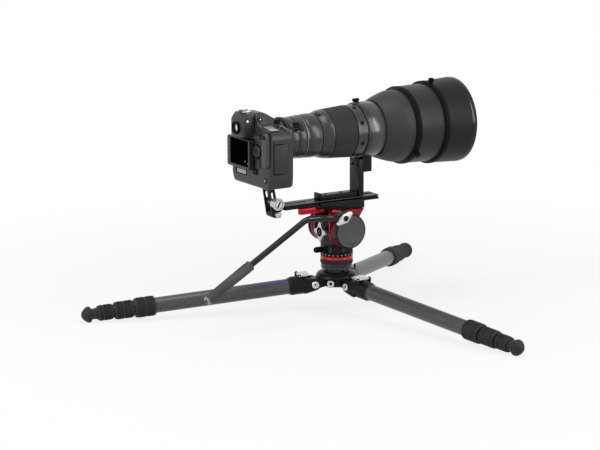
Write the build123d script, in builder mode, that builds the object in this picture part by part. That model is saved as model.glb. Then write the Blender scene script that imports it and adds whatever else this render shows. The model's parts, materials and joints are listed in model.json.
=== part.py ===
from build123d import *
import os
from math import asin, atan2, cos, degrees, radians, sin

os.makedirs("parts", exist_ok=True)

# Millimetres. The origin lies on the floor under the pan axis, +X is where the lens points,
# +Y is the camera's left and +Z is up.

# Fits: a shaft in its bore, a slide, a gap between moving flats, and a touch between fixed pieces
running_fit = 0.05
slide_fit = 0.3
flat_gap = 0.3
seat_gap = 0.1

# Broken edges, small and large, and the room left past a shaft's end in a blind bore
edge_break = 1.0
soft_break = 2.0
blind_room = 1.0

# Tripod legs, measured along the leg from its pivot
leg_azimuths = (160, 280, 40)
pivot_radius = 52.0
pivot_height = 64.0
foot_reach = 501.0
foot_radius = 18.5
foot_flat = 0.5
foot_length = 16.0
tube_radii = (17.0, 15.0, 13.0, 11.0)
tube_wall = 1.5
tube_starts = (30.0, 62.0, 72.0, 82.0)
lock_starts = (354.0, 402.0, 447.0)
lock_ends = (400.0, 445.0, 482.0)
lock_radii = (22.0, 19.5, 17.25)
lock_seat = 19.0
foot_collar_start = 483.0
foot_back = 489.0
foot_bore_end = 491.0
foot_collar_wall = 2.4
foot_shoulder = 4.0
yoke_end = 54.0
yoke_start = 17.0
socket_radius = 20.5
cheek_radius = 13.0
cheek_inner = 13.15
cheek_outer = 19.5
cheek_length = 26.0
cheek_height = 34.0
cheek_root = 6.0
bolt_radius = 5.0
bolt_head_radius = 8.0
bolt_head_height = 4.0
latch_pin_along = 33.0
latch_pin_up = 23.4
latch_pin_radius = 1.5
latch_nose = 12.0
latch_width = 30.0
latch_thick = 4.4
latch_ear = 3.0
latch_ear_wall = 2.2
latch_ear_length = 10.0
latch_ear_root = 8.0

# Tripod hub
hub_bottom = 58.8
hub_top = 83.6
hub_radius = 34.0
flange_radius = 46.0
flange_bottom = 77.2
tongue_radius = 12.5
tongue_half = cheek_inner - flat_gap
tongue_root = 30.0
tongue_root_depth = 6.0
hub_recess_radius = 15.0
hub_recess_top = 72.0
platform_top = 90.0
platform_radius = 41.0
platform_top_radius = 35.0
platform_edge = 3.0
stud_radius = 4.75
stud_top = 104.0
head_bolt_radius = 9.0
head_bolt_height = 8.0
socket_azimuth = 220
socket_height = 68.0
socket_boss_radius = 8.5
socket_reach = 44.0
socket_thread = 4.76
socket_depth = 12.0

# Head base, pan column and their rings
base_neck_radius = 30.0
base_neck_top = 97.0
base_radius = 34.5
base_top = 107.5
drag_core_radius = 29.0
drag_top = 127.5
drag_radius = 36.0
spindle_radius = 14.0
spindle_top = 146.0
pan_disc_radius = 36.0
pan_disc_top = 135.0
pan_neck_radius = 30.0
pan_neck_top = 147.0
column_half_width = 28.0
column_half_depth = 24.0
column_crown = 28.0
pan_knob_height = 141.5
pan_knob_radius = 6.5
pan_knob_start = 36.0
pan_knob_end = 57.0
pan_stem_radius = 3.0
pan_boss_radius = 5.0

# Tilt frame, drums and the tilt lock
tilt_height = 187.0
shaft_radius = 11.0
shaft_half = 50.0
flange_inner = column_half_width + flat_gap
flange_outer = 33.0
tilt_flange_radius = 39.0
drum_radius = 37.0
drum_rim_radius = 38.0
drum_rim_start = 52.0
drum_face = 58.0
bridge_rear = -4.0
bridge_rise = 31.5
bridge_crest = 20.0
bridge_knee = (36.0, 22.0)
bridge_front = 50.0
star_height = 181.0
star_boss_radius = 8.0
star_start = 33.0
star_thick = 12.0
star_lobes = 4
star_lobe_pitch = 16.0
star_lobe_width = 12.0
star_stem_radius = 4.0
star_stem_end = 17.0
rosette_x = -28.0
rosette_height = 223.0
rosette_radius = 6.0
rosette_arm_radius = 11.0
rosette_face = 58.4

# Pan bar and its clamp
bar_y = -66.0
bar_radius = 6.75
bar_eye_radius = 13.0
bar_eye_half = 7.0
bar_knee = (-115.7, 231.2)
bar_knee_radius = 45.0
bar_end = (-371.0, 80.2)
bar_root_inset = 4.0
bar_root_drop = 2.0
bar_cap = 4.0
grip_length = 128.0
grip_radius = 11.5
grip_end_radius = 10.0
clamp_bolt_radius = 4.0
clamp_hub_radius = 9.0
clamp_thick = 9.0
clamp_half_length = 23.5
clamp_angle = 37.0
clamp_tip_radius = 5.0
clamp_bolt_length = 26.0

# Plate receiver, its lever, the rail and the lens foot
receiver_rear = -58.0
receiver_front = 55.0
receiver_half = 27.0
receiver_block_rear = -5.0
receiver_block_bottom = 229.0
receiver_floor_bottom = 236.0
jaw_fit = 0.4
rail_bottom = 243.0
rail_top = 253.0
rail_rear = -145.0
rail_front = 97.0
rail_half = 20.0
rail_waist = 17.0
rail_top_half = 19.0
rail_edge = 3.0
rail_waist_bottom = 5.0
rail_waist_top = 6.6
rail_lip = 7.8
rail_slot_width = 7.0
rail_slots = ((-107.0, 52.0), (79.0, 24.0))
lever_pin = (-50.0, -14.0)
lever_reach = 50.0
lever_radius = 7.5
lever_pin_radius = 3.0
lever_bottom = 229.0
lever_tail_top = 241.5
lever_step = 12.5
lever_pin_rise = 3.5
lever_pin_depth = 4.0
foot_plate_rear = -51.0
foot_plate_top = 264.0
foot_stop_front = -46.0
foot_stop_top = 268.0
post_rear = 46.0
post_front = 58.0
post_top = 336.0
foot_half = 19.0
foot_plate_half = 12.5
foot_plate_round = 3.0

# Camera support arm at the rear end of the rail
arm_pivot = (-165.0, 236.0)
arm_lug_radius = 8.5
arm_lug_half = 8.7
arm_lug_root = 4.0
arm_cheek_inner = 9.0
arm_cheek_outer = 13.5
arm_pin_radius = 3.0
arm_top = (-176.5, 297.0)
arm_pad_top = 303.8
arm_pad_rear = -190.0
arm_pad_front = -168.5
arm_tip_radius = 7.0
arm_slot_width = 6.4
arm_slot_length = 9.0
arm_slot_share = 0.45
arm_screw = (-170.0, 261.5)
arm_screw_radius = 3.0
arm_knob_radius = 13.5
arm_knob_face = -36.0
arm_small_knob_radius = 6.5
arm_small_knob_face = -29.0
knob_neck = 3.0
knob_rim = 8.0

# Lens, stations along the axis
lens_height = 398.0
mount_x = -150.0
focus_rear = -36.5
focus_front = 19.0
focus_seat = 50.8
focus_rear_radius = 54.0
focus_front_radius = 57.0
collar_rear = 46.0
collar_front = 90.0
collar_seat = 55.8
collar_radius = 60.5
cone_start_radius = 66.0
cone_start = 97.0
barrel_front = 172.0
cone_end = 137.0
barrel_front_radius = 79.0
hood_rear_start = 158.0
hood_rear_radius = 84.5
hood_rear_end = 236.0
hood_step = 226.0
hood_step_radius = 86.0
hood_front_start = 228.0
hood_front_end = 308.0
hood_front_radius = 94.0
hood_front_rear_radius = 90.5
hood_wall = 2.5
rim_height = 1.0
rim_width = 8.0
knob_stem_radius = 2.5
hood_knob_radius = 6.5
rear_knob_x = 165.0
rear_knob_angle = 218
front_knob_x = 240.0
front_knob_angle = 97
collar_knob_x = 56.0
collar_knob_angle = 80
collar_knob_radius = 8.0
stub_front = 80.0
stub_half = 17.0
stub_bottom = 306.0
stub_overlap = 4.0
lens_knob_height = 8.0
collar_stem_depth = 3.0
hood_stem_depth = 4.0
hood_sleeve_end = 248.0
rear_glass_radius = 18.0
middle_glass_radius = 46.0
front_glass_radius = 70.0
rear_glass_seat = mount_x + 4.0
middle_glass_seat = 60.0
front_glass_seat = 138.0
rear_glass_shape = (4.5, 2.0)
middle_glass_shape = (6.0, 4.0)
front_glass_shape = (7.0, 9.0)
barrel_front_lip = 57.0
barrel_rear_skin = (
    (mount_x, 30.0), (mount_x, 43.0), (mount_x + 4.0, 46.5), (mount_x + 9.0, 46.5), (mount_x + 10.0, 44.5),
    (-103.0, 46.0), (-100.0, 46.8), (-96.0, 46.0), (-64.0, 47.5), (-39.5, 53.5), (focus_rear, 53.5),
)
barrel_rear_bore = (
    (middle_glass_seat, 43.0), (focus_rear, 43.0), (-60.0, 40.0), (mount_x + 10.0, 38.0),
)
barrel_front_bore = ((front_glass_seat, 65.0), (103.0, 60.0), (collar_front, 50.0))
collar_shoulder = 62.0

# Camera
camera_rear = -223.0
cover_front = -215.0
camera_front = -163.0
camera_wall = 3.0
camera_bottom = 304.2
body_corner = 9.0
shell_round = 5.0
cover_round = 4.0
body_side = -84.0
body_top = 464.0
body_outline = (
    (74.0, 326.0), (66.0, camera_bottom), (-76.0, camera_bottom), (body_side, 322.0), (body_side, 420.0),
    (-72.0, 431.0), (-40.0, 436.0), (-25.0, body_top), (25.0, body_top), (42.0, 434.0), (74.0, 428.0),
)
hump_crest = -200.0
hump_front_height = 437.0
hump_wedge_height = 12.0
hump_slope_wall = 3.7
shoe_rear = -243.5
shoe_front = -223.5
shoe_half = 10.7
shoe_wall = 1.4
shoe_mouth = 6.5
shoe_base = 0.8
shoe_height = 5.0
boss_radius = 44.0
boss_bore = 32.0
boss_bore_start = -173.0
grip_center = (-178.0, -65.0)
grip_size = (36.0, 37.0)
grip_corner = 13.0
grip_bottom = 307.0
grip_top = 418.0
screen_rear = -237.0
screen_size = (90.5, 66.0)
screen_center = (24.75, 373.0)
glass_size = (73.0, 57.0)
glass_center = (19.5, 375.0)
glass_thick = 1.5
info_size = (45.5, 13.0)
info_center = (33.0, 330.0)
finder_rear = -252.0
finder_size = (52.0, 52.0)
finder_center = (4.0, 438.0)
finder_rear_top = 450.0
finder_roof_rear = -242.0
finder_depth = 18.0
eyepiece_height = 432.0
eyepiece_rear = -258.0
eyepiece_radius = 14.0
eyepiece_bore = 9.0
eyepiece_cup = 4.0
thumb_rear = -231.0
thumb_size = (24.0, 76.0)
thumb_center = (-70.0, 390.0)
block_corner = 7.0
shutter_radius = 6.0
shutter_place = (-180.0, -58.0)
shutter_top = 437.0
shutter_bottom = 428.0
shutter_pocket = 425.5
shutter_collar = 434.8
dial_place = (-222.5, -66.0)
dial_radius = 10.5
dial_height = 416.0
dial_thick = 6.0
dial_pin_radius = 1.5
dial_pin_half = 6.0
dial_room = 0.5
selector_place = (-34.0, 383.0)
selector_radius = 12.0
selector_rear = -226.5
selector_front = -220.3
selector_pocket = -219.0
selector_dish = 1.5
door_rear = -212.0
door_front = -179.0
door_bottom = 340.0
door_top = 402.0
door_thick = 2.2
door_pin_radius = 0.8
door_pin_reach = 2.0
door_frame = 6.0
door_frame_rear = 2.0
door_frame_depth = 7.0
mirror_box_rear = -198.0
mirror_box_half = 36.0
mirror_box_below = 25.0
mirror_box_above = 27.0
mirror_box_window = (48.0, 40.0)
mirror_x = -182.0
mirror_size = (30.0, 1.6)
sensor_half = (24.0, 18.0)
sensor_thick = 5.0
prism_rear = -194.0
prism_front = -174.0
prism_half = 19.0
prism_height = 12.0
battery_rear = -211.0
battery_front = -172.0
battery_half = 40.0
battery_height = 24.0

# Working planes: x along the axis of turning, y the radius
upright = Plane(origin=(0, 0, 0), x_dir=(0, 0, 1), z_dir=(0, 1, 0))
tilt_axis = Plane(origin=(0, 0, tilt_height), x_dir=(0, 1, 0), z_dir=(1, 0, 0))
lens_axis = Plane(origin=(0, 0, lens_height), x_dir=(1, 0, 0), z_dir=(0, -1, 0))


def keep(name, *solids):
    """Label one piece, or a group of separate solids, and write it as one node."""
    piece = solids[0] if len(solids) == 1 else Compound(children=list(solids))
    piece.label = name
    export_step(piece, f"parts/{name}.step")


def turned(plane, outline):
    """A turned piece: an outline of (along, radius) points revolved about the plane's x axis."""
    with BuildPart() as piece:
        with BuildSketch(plane):
            with BuildLine():
                Polyline(*outline, close=True)
            make_face()
        revolve(axis=Axis(plane.origin, plane.x_dir))
    return piece.part


def side_plane(y=0.0):
    """Upright plane at one y, with x to the lens and z up in the sketch; its normal is -Y."""
    return Plane(origin=(0, y, 0), x_dir=(1, 0, 0), z_dir=(0, -1, 0))


def rear_plane(x):
    """Upright plane at one x, with the sketch's x along Y and its y along Z; its normal is +X."""
    return Plane(origin=(x, 0, 0), x_dir=(0, 1, 0), z_dir=(1, 0, 0))


def box_between(low, high):
    """Add a box between two corners to the part that is being built."""
    size = [b - a for a, b in zip(low, high)]
    middle = [(a + b) / 2 for a, b in zip(low, high)]
    with Locations(tuple(middle)):
        Box(*size)


def link(first, first_radius, second, second_radius):
    """Sketch two discs and the straight web between them."""
    with Locations(first):
        Circle(first_radius)
    with Locations(second):
        Circle(second_radius)
    make_hull()


def dome(base, bulge, radius):
    """Sketch the arc of a dome from the axis out to its rim, with its centre on the axis."""
    sphere = (radius ** 2 + bulge ** 2) / (2 * bulge)
    CenterArc((base + bulge - sphere, 0), sphere, 0, degrees(asin(radius / sphere)))


# Tripod legs
leg_drop = asin((pivot_height - foot_radius + foot_flat) / foot_reach)


def leg_plane(azimuth):
    """Plane at a leg's pivot: x down the leg, y up across it, normal along the pivot bolt."""
    around = radians(azimuth)
    pivot = (pivot_radius * cos(around), pivot_radius * sin(around), pivot_height)
    along = (cos(around) * cos(leg_drop), sin(around) * cos(leg_drop), -sin(leg_drop))
    return Plane(origin=pivot, x_dir=along, z_dir=(sin(around), -cos(around), 0))


def leg_tube(plane, number):
    """One carbon tube; tubes 1 to 3 end in their twist lock, tube 4 in the foot."""
    outer = tube_radii[number]
    inner = outer - tube_wall
    start = tube_starts[number]
    ends = [lock + lock_seat for lock in lock_starts] + [foot_bore_end - seat_gap]
    end = ends[number]
    return turned(plane, ((start, inner), (start, outer), (end, outer), (end, inner)))


def leg_yoke(plane):
    """Fork casting that straddles the hub's tongue and holds the top tube in its socket."""
    bore = tube_radii[0] + running_fit
    ear_inner = latch_width / 2 + flat_gap
    with BuildPart() as yoke:
        with BuildSketch(plane):
            with BuildLine():
                Polyline(
                    (yoke_start, 0), (yoke_start, socket_radius - soft_break),
                    (yoke_start + soft_break, socket_radius), (yoke_end - soft_break, socket_radius),
                    (yoke_end, socket_radius - soft_break), (yoke_end, 0), close=True,
                )
            make_face()
        revolve(axis=Axis(plane.origin, plane.x_dir))
        for side in (1, -1):
            start = cheek_inner if side == 1 else -cheek_outer
            with BuildSketch(plane.offset(start)):
                Circle(cheek_radius)
                with Locations((cheek_length - cheek_root / 2, 0)):
                    Rectangle(cheek_root, cheek_height)
                make_hull()
            extrude(amount=cheek_outer - cheek_inner)
            ear_start = ear_inner if side == 1 else -ear_inner - latch_ear
            with BuildSketch(plane.offset(ear_start)):
                with Locations((latch_pin_along, latch_pin_up)):
                    Circle(latch_pin_radius + latch_ear_wall)
                with Locations((latch_pin_along, latch_ear_root)):
                    Rectangle(latch_ear_length, latch_ear_root)
                make_hull()
            extrude(amount=latch_ear)
        with BuildSketch(plane):
            Circle(bolt_radius + running_fit)
            with Locations((latch_pin_along, latch_pin_up)):
                Circle(latch_pin_radius + running_fit)
        extrude(amount=2 * cheek_outer, both=True, mode=Mode.SUBTRACT)
        with BuildSketch(plane):
            with BuildLine():
                Polyline(
                    (tube_starts[0] - seat_gap, 0), (tube_starts[0] - seat_gap, bore), (yoke_end, bore),
                    (yoke_end, 0), close=True,
                )
            make_face()
        revolve(axis=Axis(plane.origin, plane.x_dir), mode=Mode.SUBTRACT)
    return yoke.part


def leg_latch(plane):
    """Angle latch: a broad tab on a cross pin, its nose against the hub's flange."""
    with BuildPart() as latch:
        with BuildSketch(plane):
            with Locations((latch_pin_along, latch_pin_up)):
                Circle(latch_thick / 2)
            with Locations((latch_nose, latch_pin_up)):
                Circle(latch_thick / 2)
            make_hull()
        extrude(amount=latch_width / 2, both=True)
        with BuildSketch(plane):
            with Locations((latch_pin_along, latch_pin_up)):
                Circle(latch_pin_radius)
        extrude(amount=latch_width / 2 + flat_gap + latch_ear, both=True)
    return latch.part


def leg_lock(plane, number):
    """Twist-lock nut round the end of one tube and the next tube in it."""
    start, end, outer = lock_starts[number], lock_ends[number], lock_radii[number]
    wide = tube_radii[number] + running_fit
    narrow = tube_radii[number + 1] + running_fit
    step = start + lock_seat + flat_gap
    return turned(plane, (
        (start, wide), (start, outer - soft_break), (start + soft_break, outer),
        (end - 3 * soft_break, outer), (end, outer - soft_break), (end, narrow), (step, narrow), (step, wide),
    ))


def leg_foot(plane):
    """Rubber foot, a dome with a collar on the last tube and a flat worn on its floor side."""
    bore = tube_radii[3] + running_fit
    collar = bore + foot_collar_wall
    with BuildPart() as foot:
        with BuildSketch(plane):
            with BuildLine():
                Polyline(
                    (foot_reach + foot_length, 0), (foot_bore_end, 0), (foot_bore_end, bore),
                    (foot_collar_start, bore), (foot_collar_start, collar), (foot_back, collar),
                    (foot_back, foot_radius - foot_shoulder),
                )
                ThreePointArc(
                    (foot_back, foot_radius - foot_shoulder),
                    (foot_back + foot_shoulder, foot_radius - edge_break),
                    (foot_reach, foot_radius),
                )
                dome(foot_reach, foot_length, foot_radius)
            make_face()
        revolve(axis=Axis(plane.origin, plane.x_dir))
        split(bisect_by=Plane.XY, keep=Keep.TOP)
    return foot.part


def pivot_bolt(plane):
    """Leg pivot bolt with a round head at each end."""
    head = cheek_outer + seat_gap
    with BuildPart() as bolt:
        with BuildSketch(plane):
            Circle(bolt_radius)
        extrude(amount=head, both=True)
        for start in (head, -head - bolt_head_height):
            with BuildSketch(plane.offset(start)):
                Circle(bolt_head_radius)
            extrude(amount=bolt_head_height)
    return bolt.part


for leg_number, leg_azimuth in enumerate(leg_azimuths, start=1):
    this_leg = leg_plane(leg_azimuth)
    keep(f"leg_{leg_number}_upper", leg_yoke(this_leg), leg_tube(this_leg, 0))
    keep(f"leg_{leg_number}_latch", leg_latch(this_leg))
    for section in (0, 1, 2):
        keep(f"leg_{leg_number}_lock_{section + 1}", leg_lock(this_leg, section))
    keep(f"leg_{leg_number}_tube_2", leg_tube(this_leg, 1))
    keep(f"leg_{leg_number}_tube_3", leg_tube(this_leg, 2))
    keep(f"leg_{leg_number}_tube_4_and_foot", leg_tube(this_leg, 3), leg_foot(this_leg))

# Tripod hub
socket_around = radians(socket_azimuth)
socket_plane = Plane(
    origin=(0, 0, socket_height),
    x_dir=(-sin(socket_around), cos(socket_around), 0),
    z_dir=(cos(socket_around), sin(socket_around), 0),
)

with BuildPart() as hub_casting:
    with BuildSketch(upright):
        with BuildLine():
            Polyline(
                (hub_bottom, 0), (hub_bottom, hub_radius), (flange_bottom, hub_radius),
                (flange_bottom, flange_radius), (hub_top, flange_radius - soft_break), (hub_top, 0),
                close=True,
            )
        make_face()
    revolve(axis=Axis.Z)
    for azimuth in leg_azimuths:
        level = radians(azimuth)
        tongue_plane = Plane(
            origin=(0, 0, 0),
            x_dir=(cos(level), sin(level), 0),
            z_dir=(sin(level), -cos(level), 0),
        )
        with BuildSketch(tongue_plane):
            with Locations((pivot_radius, pivot_height)):
                Circle(tongue_radius)
            with Locations((tongue_root - tongue_root_depth / 2, (hub_bottom + flange_bottom) / 2)):
                Rectangle(tongue_root_depth, flange_bottom - hub_bottom)
            make_hull()
            with Locations((pivot_radius, pivot_height)):
                Circle(bolt_radius + running_fit, mode=Mode.SUBTRACT)
        extrude(amount=tongue_half, both=True)
    with BuildSketch(socket_plane):
        Circle(socket_boss_radius)
    extrude(amount=socket_reach)
    with BuildSketch(Plane.XY.offset(hub_bottom)):
        Circle(hub_recess_radius)
    extrude(amount=hub_recess_top - hub_bottom, mode=Mode.SUBTRACT)
    with BuildSketch(Plane.XY.offset(hub_bottom)):
        Circle(stud_radius + running_fit)
    extrude(amount=hub_top - hub_bottom, mode=Mode.SUBTRACT)
    with BuildSketch(socket_plane.offset(socket_reach - socket_depth)):
        Circle(socket_thread)
    extrude(amount=socket_depth, mode=Mode.SUBTRACT)

hub_platform = turned(upright, (
    (hub_top, stud_radius + running_fit), (hub_top, platform_radius),
    (hub_top + platform_edge, platform_radius), (platform_top, platform_top_radius),
    (platform_top, stud_radius + running_fit),
))
keep("spider_hub", hub_casting.part, hub_platform)

head_bolt = turned(upright, (
    (hub_recess_top - head_bolt_height, 0), (hub_recess_top - head_bolt_height, head_bolt_radius),
    (hub_recess_top - seat_gap, head_bolt_radius), (hub_recess_top - seat_gap, stud_radius),
    (stud_top, stud_radius), (stud_top, 0),
))
keep("hub_fasteners", *[pivot_bolt(leg_plane(azimuth)) for azimuth in leg_azimuths], head_bolt)

# Head base and pan drag ring
head_base = turned(upright, (
    (platform_top, stud_radius + running_fit), (platform_top, base_neck_radius),
    (base_neck_top, base_neck_radius), (base_neck_top, base_radius - edge_break),
    (base_neck_top + edge_break, base_radius),
    (base_top, base_radius), (base_top, drag_core_radius), (drag_top, drag_core_radius),
    (drag_top, spindle_radius), (spindle_top, spindle_radius), (spindle_top, 0),
    (stud_top + blind_room, 0), (stud_top + blind_room, stud_radius + running_fit),
))
keep("head_base", head_base)

pan_drag_ring = turned(upright, (
    (base_top + flat_gap, drag_core_radius + running_fit), (base_top + flat_gap, drag_radius - edge_break),
    (base_top + flat_gap + edge_break, drag_radius), (drag_top - flat_gap, drag_radius),
    (drag_top - flat_gap, drag_core_radius + running_fit),
))
keep("pan_drag_ring", pan_drag_ring)

# Pan column with the tilt shaft in it
with BuildPart() as pan_column:
    with BuildSketch(upright):
        with BuildLine():
            Polyline(
                (drag_top + flat_gap, 0), (drag_top + flat_gap, pan_disc_radius),
                (pan_disc_top - edge_break, pan_disc_radius), (pan_disc_top, pan_disc_radius - edge_break),
                (pan_disc_top, pan_neck_radius), (pan_neck_top, pan_neck_radius), (pan_neck_top, 0),
                close=True,
            )
        make_face()
    revolve(axis=Axis.Z)
    with BuildSketch(side_plane()):
        with Locations((0, tilt_height)):
            Circle(column_crown)
        with Locations((0, (pan_disc_top + tilt_height) / 2)):
            Rectangle(2 * column_half_depth, tilt_height - pan_disc_top)
    extrude(amount=column_half_width, both=True)
    with BuildSketch(rear_plane(-column_half_depth)):
        with Locations((0, star_height)):
            Circle(star_boss_radius)
    extrude(amount=column_half_depth - star_start)
    with BuildSketch(rear_plane(-column_half_depth)):
        with Locations((0, pan_knob_height)):
            Circle(pan_boss_radius)
    extrude(amount=column_half_depth - pan_knob_start + flat_gap)
    with BuildSketch(side_plane()):
        with Locations((0, tilt_height)):
            Circle(shaft_radius + running_fit)
    extrude(amount=2 * column_half_width, both=True, mode=Mode.SUBTRACT)
    with BuildSketch(Plane.XY.offset(drag_top)):
        Circle(spindle_radius + running_fit)
    extrude(amount=spindle_top + flat_gap - drag_top, mode=Mode.SUBTRACT)
    with BuildSketch(rear_plane(-star_stem_end + flat_gap)):
        with Locations((0, star_height)):
            Circle(star_stem_radius + running_fit)
    extrude(amount=star_stem_end - 2 * star_start, mode=Mode.SUBTRACT)
    with BuildSketch(rear_plane(-column_half_depth)):
        with Locations((0, pan_knob_height)):
            Circle(pan_stem_radius + running_fit)
    extrude(amount=column_half_depth - 2 * pan_knob_start, mode=Mode.SUBTRACT)

tilt_shaft = turned(tilt_axis, (
    (-shaft_half, 0), (-shaft_half, shaft_radius), (shaft_half, shaft_radius), (shaft_half, 0),
))
keep("pan_column", pan_column.part, tilt_shaft)

pan_knob_axis = Plane(origin=(0, 0, pan_knob_height), x_dir=(-1, 0, 0), z_dir=(0, 1, 0))
pan_lock_knob = turned(pan_knob_axis, (
    (column_half_depth + flat_gap, 0), (column_half_depth + flat_gap, pan_stem_radius),
    (pan_knob_start, pan_stem_radius), (pan_knob_start, pan_knob_radius - edge_break),
    (pan_knob_start + edge_break, pan_knob_radius), (pan_knob_end - edge_break, pan_knob_radius),
    (pan_knob_end, pan_knob_radius - edge_break), (pan_knob_end, 0),
))
keep("pan_lock_knob", pan_lock_knob)

# Tilt lock: a four-lobed star knob on a stem
with BuildPart() as tilt_lock_knob:
    with BuildSketch(rear_plane(-star_start - flat_gap)):
        with Locations((0, star_height)):
            with PolarLocations(star_lobe_pitch / 2, star_lobes):
                SlotCenterToCenter(star_lobe_pitch, star_lobe_width)
    extrude(amount=-star_thick)
    with BuildSketch(rear_plane(-star_start - flat_gap)):
        with Locations((0, star_height)):
            Circle(star_stem_radius)
    extrude(amount=star_start - star_stem_end)
keep("tilt_lock_knob", tilt_lock_knob.part)

# Tilt frame: two round cheeks, a bridge over the column and a rosette boss on each cheek
with BuildPart() as tilt_frame:
    for start in (flange_inner, -flange_outer):
        with BuildSketch(side_plane(start + flange_outer - flange_inner)):
            link((0, tilt_height), tilt_flange_radius, (rosette_x, rosette_height), rosette_arm_radius)
        extrude(amount=flange_outer - flange_inner)
    with BuildSketch(side_plane()):
        with BuildLine():
            Polyline(
                (bridge_rear, receiver_block_bottom), (bridge_rear, tilt_height + bridge_rise),
                (bridge_crest, tilt_height + bridge_rise), (bridge_knee[0], tilt_height + bridge_knee[1]),
                (bridge_front, receiver_block_bottom), close=True,
            )
        make_face()
    extrude(amount=flange_outer, both=True)
    with BuildSketch(side_plane()):
        with Locations((rosette_x, rosette_height)):
            Circle(rosette_radius)
    extrude(amount=rosette_face, both=True)
    with BuildSketch(side_plane()):
        with Locations((rosette_x, rosette_height)):
            Circle(rosette_arm_radius)
        with Locations((0, tilt_height)):
            Circle(shaft_radius + running_fit)
    extrude(amount=flange_inner, both=True, mode=Mode.SUBTRACT)
    with BuildSketch(side_plane()):
        with Locations((0, tilt_height)):
            Circle(shaft_radius + running_fit)
        with Locations((rosette_x, rosette_height)):
            Circle(clamp_bolt_radius + running_fit)
    extrude(amount=rosette_face, both=True, mode=Mode.SUBTRACT)
keep("tilt_frame", tilt_frame.part)


def tilt_drum(side):
    """Fluid drag drum with its flat cover, one on each side of the tilt frame."""
    plane = Plane(origin=(0, 0, tilt_height), x_dir=(0, side, 0), z_dir=(side, 0, 0))
    return turned(plane, (
        (flange_outer + seat_gap, shaft_radius + running_fit), (flange_outer + seat_gap, drum_radius),
        (drum_rim_start, drum_radius), (drum_rim_start, drum_rim_radius),
        (drum_face - edge_break, drum_rim_radius), (drum_face, drum_rim_radius - edge_break), (drum_face, 0),
        (shaft_half + blind_room, 0), (shaft_half + blind_room, shaft_radius + running_fit),
    ))


keep("tilt_drums", tilt_drum(-1), tilt_drum(1))

# Pan bar: an eye on the rosette, a bent tube and a tapered grip
eye_near = bar_y + bar_eye_half
grip_slope = Vector(bar_end[0] - bar_knee[0], 0, bar_end[1] - bar_knee[1]).normalized()
bar_end_point = Vector(bar_end[0], bar_y, bar_end[1])
grip_start_point = bar_end_point - grip_slope * grip_length

with BuildPart() as pan_bar:
    with BuildLine(side_plane(bar_y)):
        bar_path = FilletPolyline(
            (rosette_x - bar_eye_radius + bar_root_inset, rosette_height - bar_root_drop), bar_knee,
            (bar_end[0] - bar_cap * grip_slope.X, bar_end[1] - bar_cap * grip_slope.Z),
            radius=bar_knee_radius,
        )
    with BuildSketch(Plane(origin=bar_path @ 0, z_dir=bar_path % 0)):
        Circle(bar_radius)
    sweep()
    with BuildSketch(side_plane(eye_near)):
        with Locations((rosette_x, rosette_height)):
            Circle(bar_eye_radius)
    extrude(amount=2 * bar_eye_half)
    with BuildSketch(side_plane(eye_near)):
        with Locations((rosette_x, rosette_height)):
            Circle(clamp_bolt_radius + running_fit)
    extrude(amount=2 * bar_eye_half, mode=Mode.SUBTRACT)

grip_axis = Plane(origin=tuple(grip_start_point), x_dir=tuple(grip_slope), z_dir=(0, 1, 0))
grip_bore = bar_radius + running_fit
grip_bore_end = grip_length - bar_cap + seat_gap
pan_bar_grip = turned(grip_axis, (
    (0, grip_bore), (0, grip_radius - soft_break), (soft_break, grip_radius),
    (grip_length - soft_break, grip_end_radius), (grip_length, grip_end_radius - soft_break),
    (grip_length, 0), (grip_bore_end, 0), (grip_bore_end, grip_bore),
))
keep("pan_bar", pan_bar.part, pan_bar_grip)

# Bar clamp: a two-winged lever on a bolt through the eye
with BuildPart() as bar_clamp_lever:
    clamp_back = bar_y - bar_eye_half - flat_gap
    wing = (clamp_half_length * cos(radians(clamp_angle)), clamp_half_length * sin(radians(clamp_angle)))
    for direction in (1, -1):
        with BuildSketch(side_plane(clamp_back)):
            tip = (rosette_x + direction * wing[0], rosette_height + direction * wing[1])
            link((rosette_x, rosette_height), clamp_hub_radius, tip, clamp_tip_radius)
        extrude(amount=clamp_thick)
    with BuildSketch(side_plane(clamp_back)):
        with Locations((rosette_x, rosette_height)):
            Circle(clamp_bolt_radius)
    extrude(amount=-clamp_bolt_length)
keep("bar_clamp_lever", bar_clamp_lever.part)

# Plate receiver: a channel for the rail, thick at the front where it sits on the bridge
jaw_nose = rail_waist + jaw_fit
jaw_top = rail_bottom + rail_waist_top - slide_fit
jaw_nose_bottom = rail_bottom + rail_waist_bottom + seat_gap
channel_half = rail_half + slide_fit
channel_floor = rail_bottom - slide_fit
channel_top = rail_bottom + rail_edge + slide_fit / 2
with BuildPart() as plate_receiver:
    with BuildSketch(rear_plane(receiver_rear)):
        with BuildLine():
            Polyline(
                (-receiver_half, receiver_floor_bottom), (receiver_half, receiver_floor_bottom),
                (receiver_half, jaw_top), (jaw_nose, jaw_top), (jaw_nose, jaw_nose_bottom),
                (channel_half, channel_top), (channel_half, channel_floor),
                (-channel_half, channel_floor), (-channel_half, channel_top),
                (-jaw_nose, jaw_nose_bottom), (-jaw_nose, jaw_top), (-receiver_half, jaw_top),
                close=True,
            )
        make_face()
    extrude(amount=receiver_front - receiver_rear)
    box_between(
        (receiver_block_rear, -receiver_half, receiver_block_bottom),
        (receiver_front, receiver_half, receiver_floor_bottom),
    )
    with BuildSketch(Plane.XY.offset(receiver_floor_bottom)):
        with Locations(lever_pin):
            Circle(lever_pin_radius + running_fit)
    extrude(amount=lever_pin_depth, mode=Mode.SUBTRACT)
keep("plate_receiver", plate_receiver.part)

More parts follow.
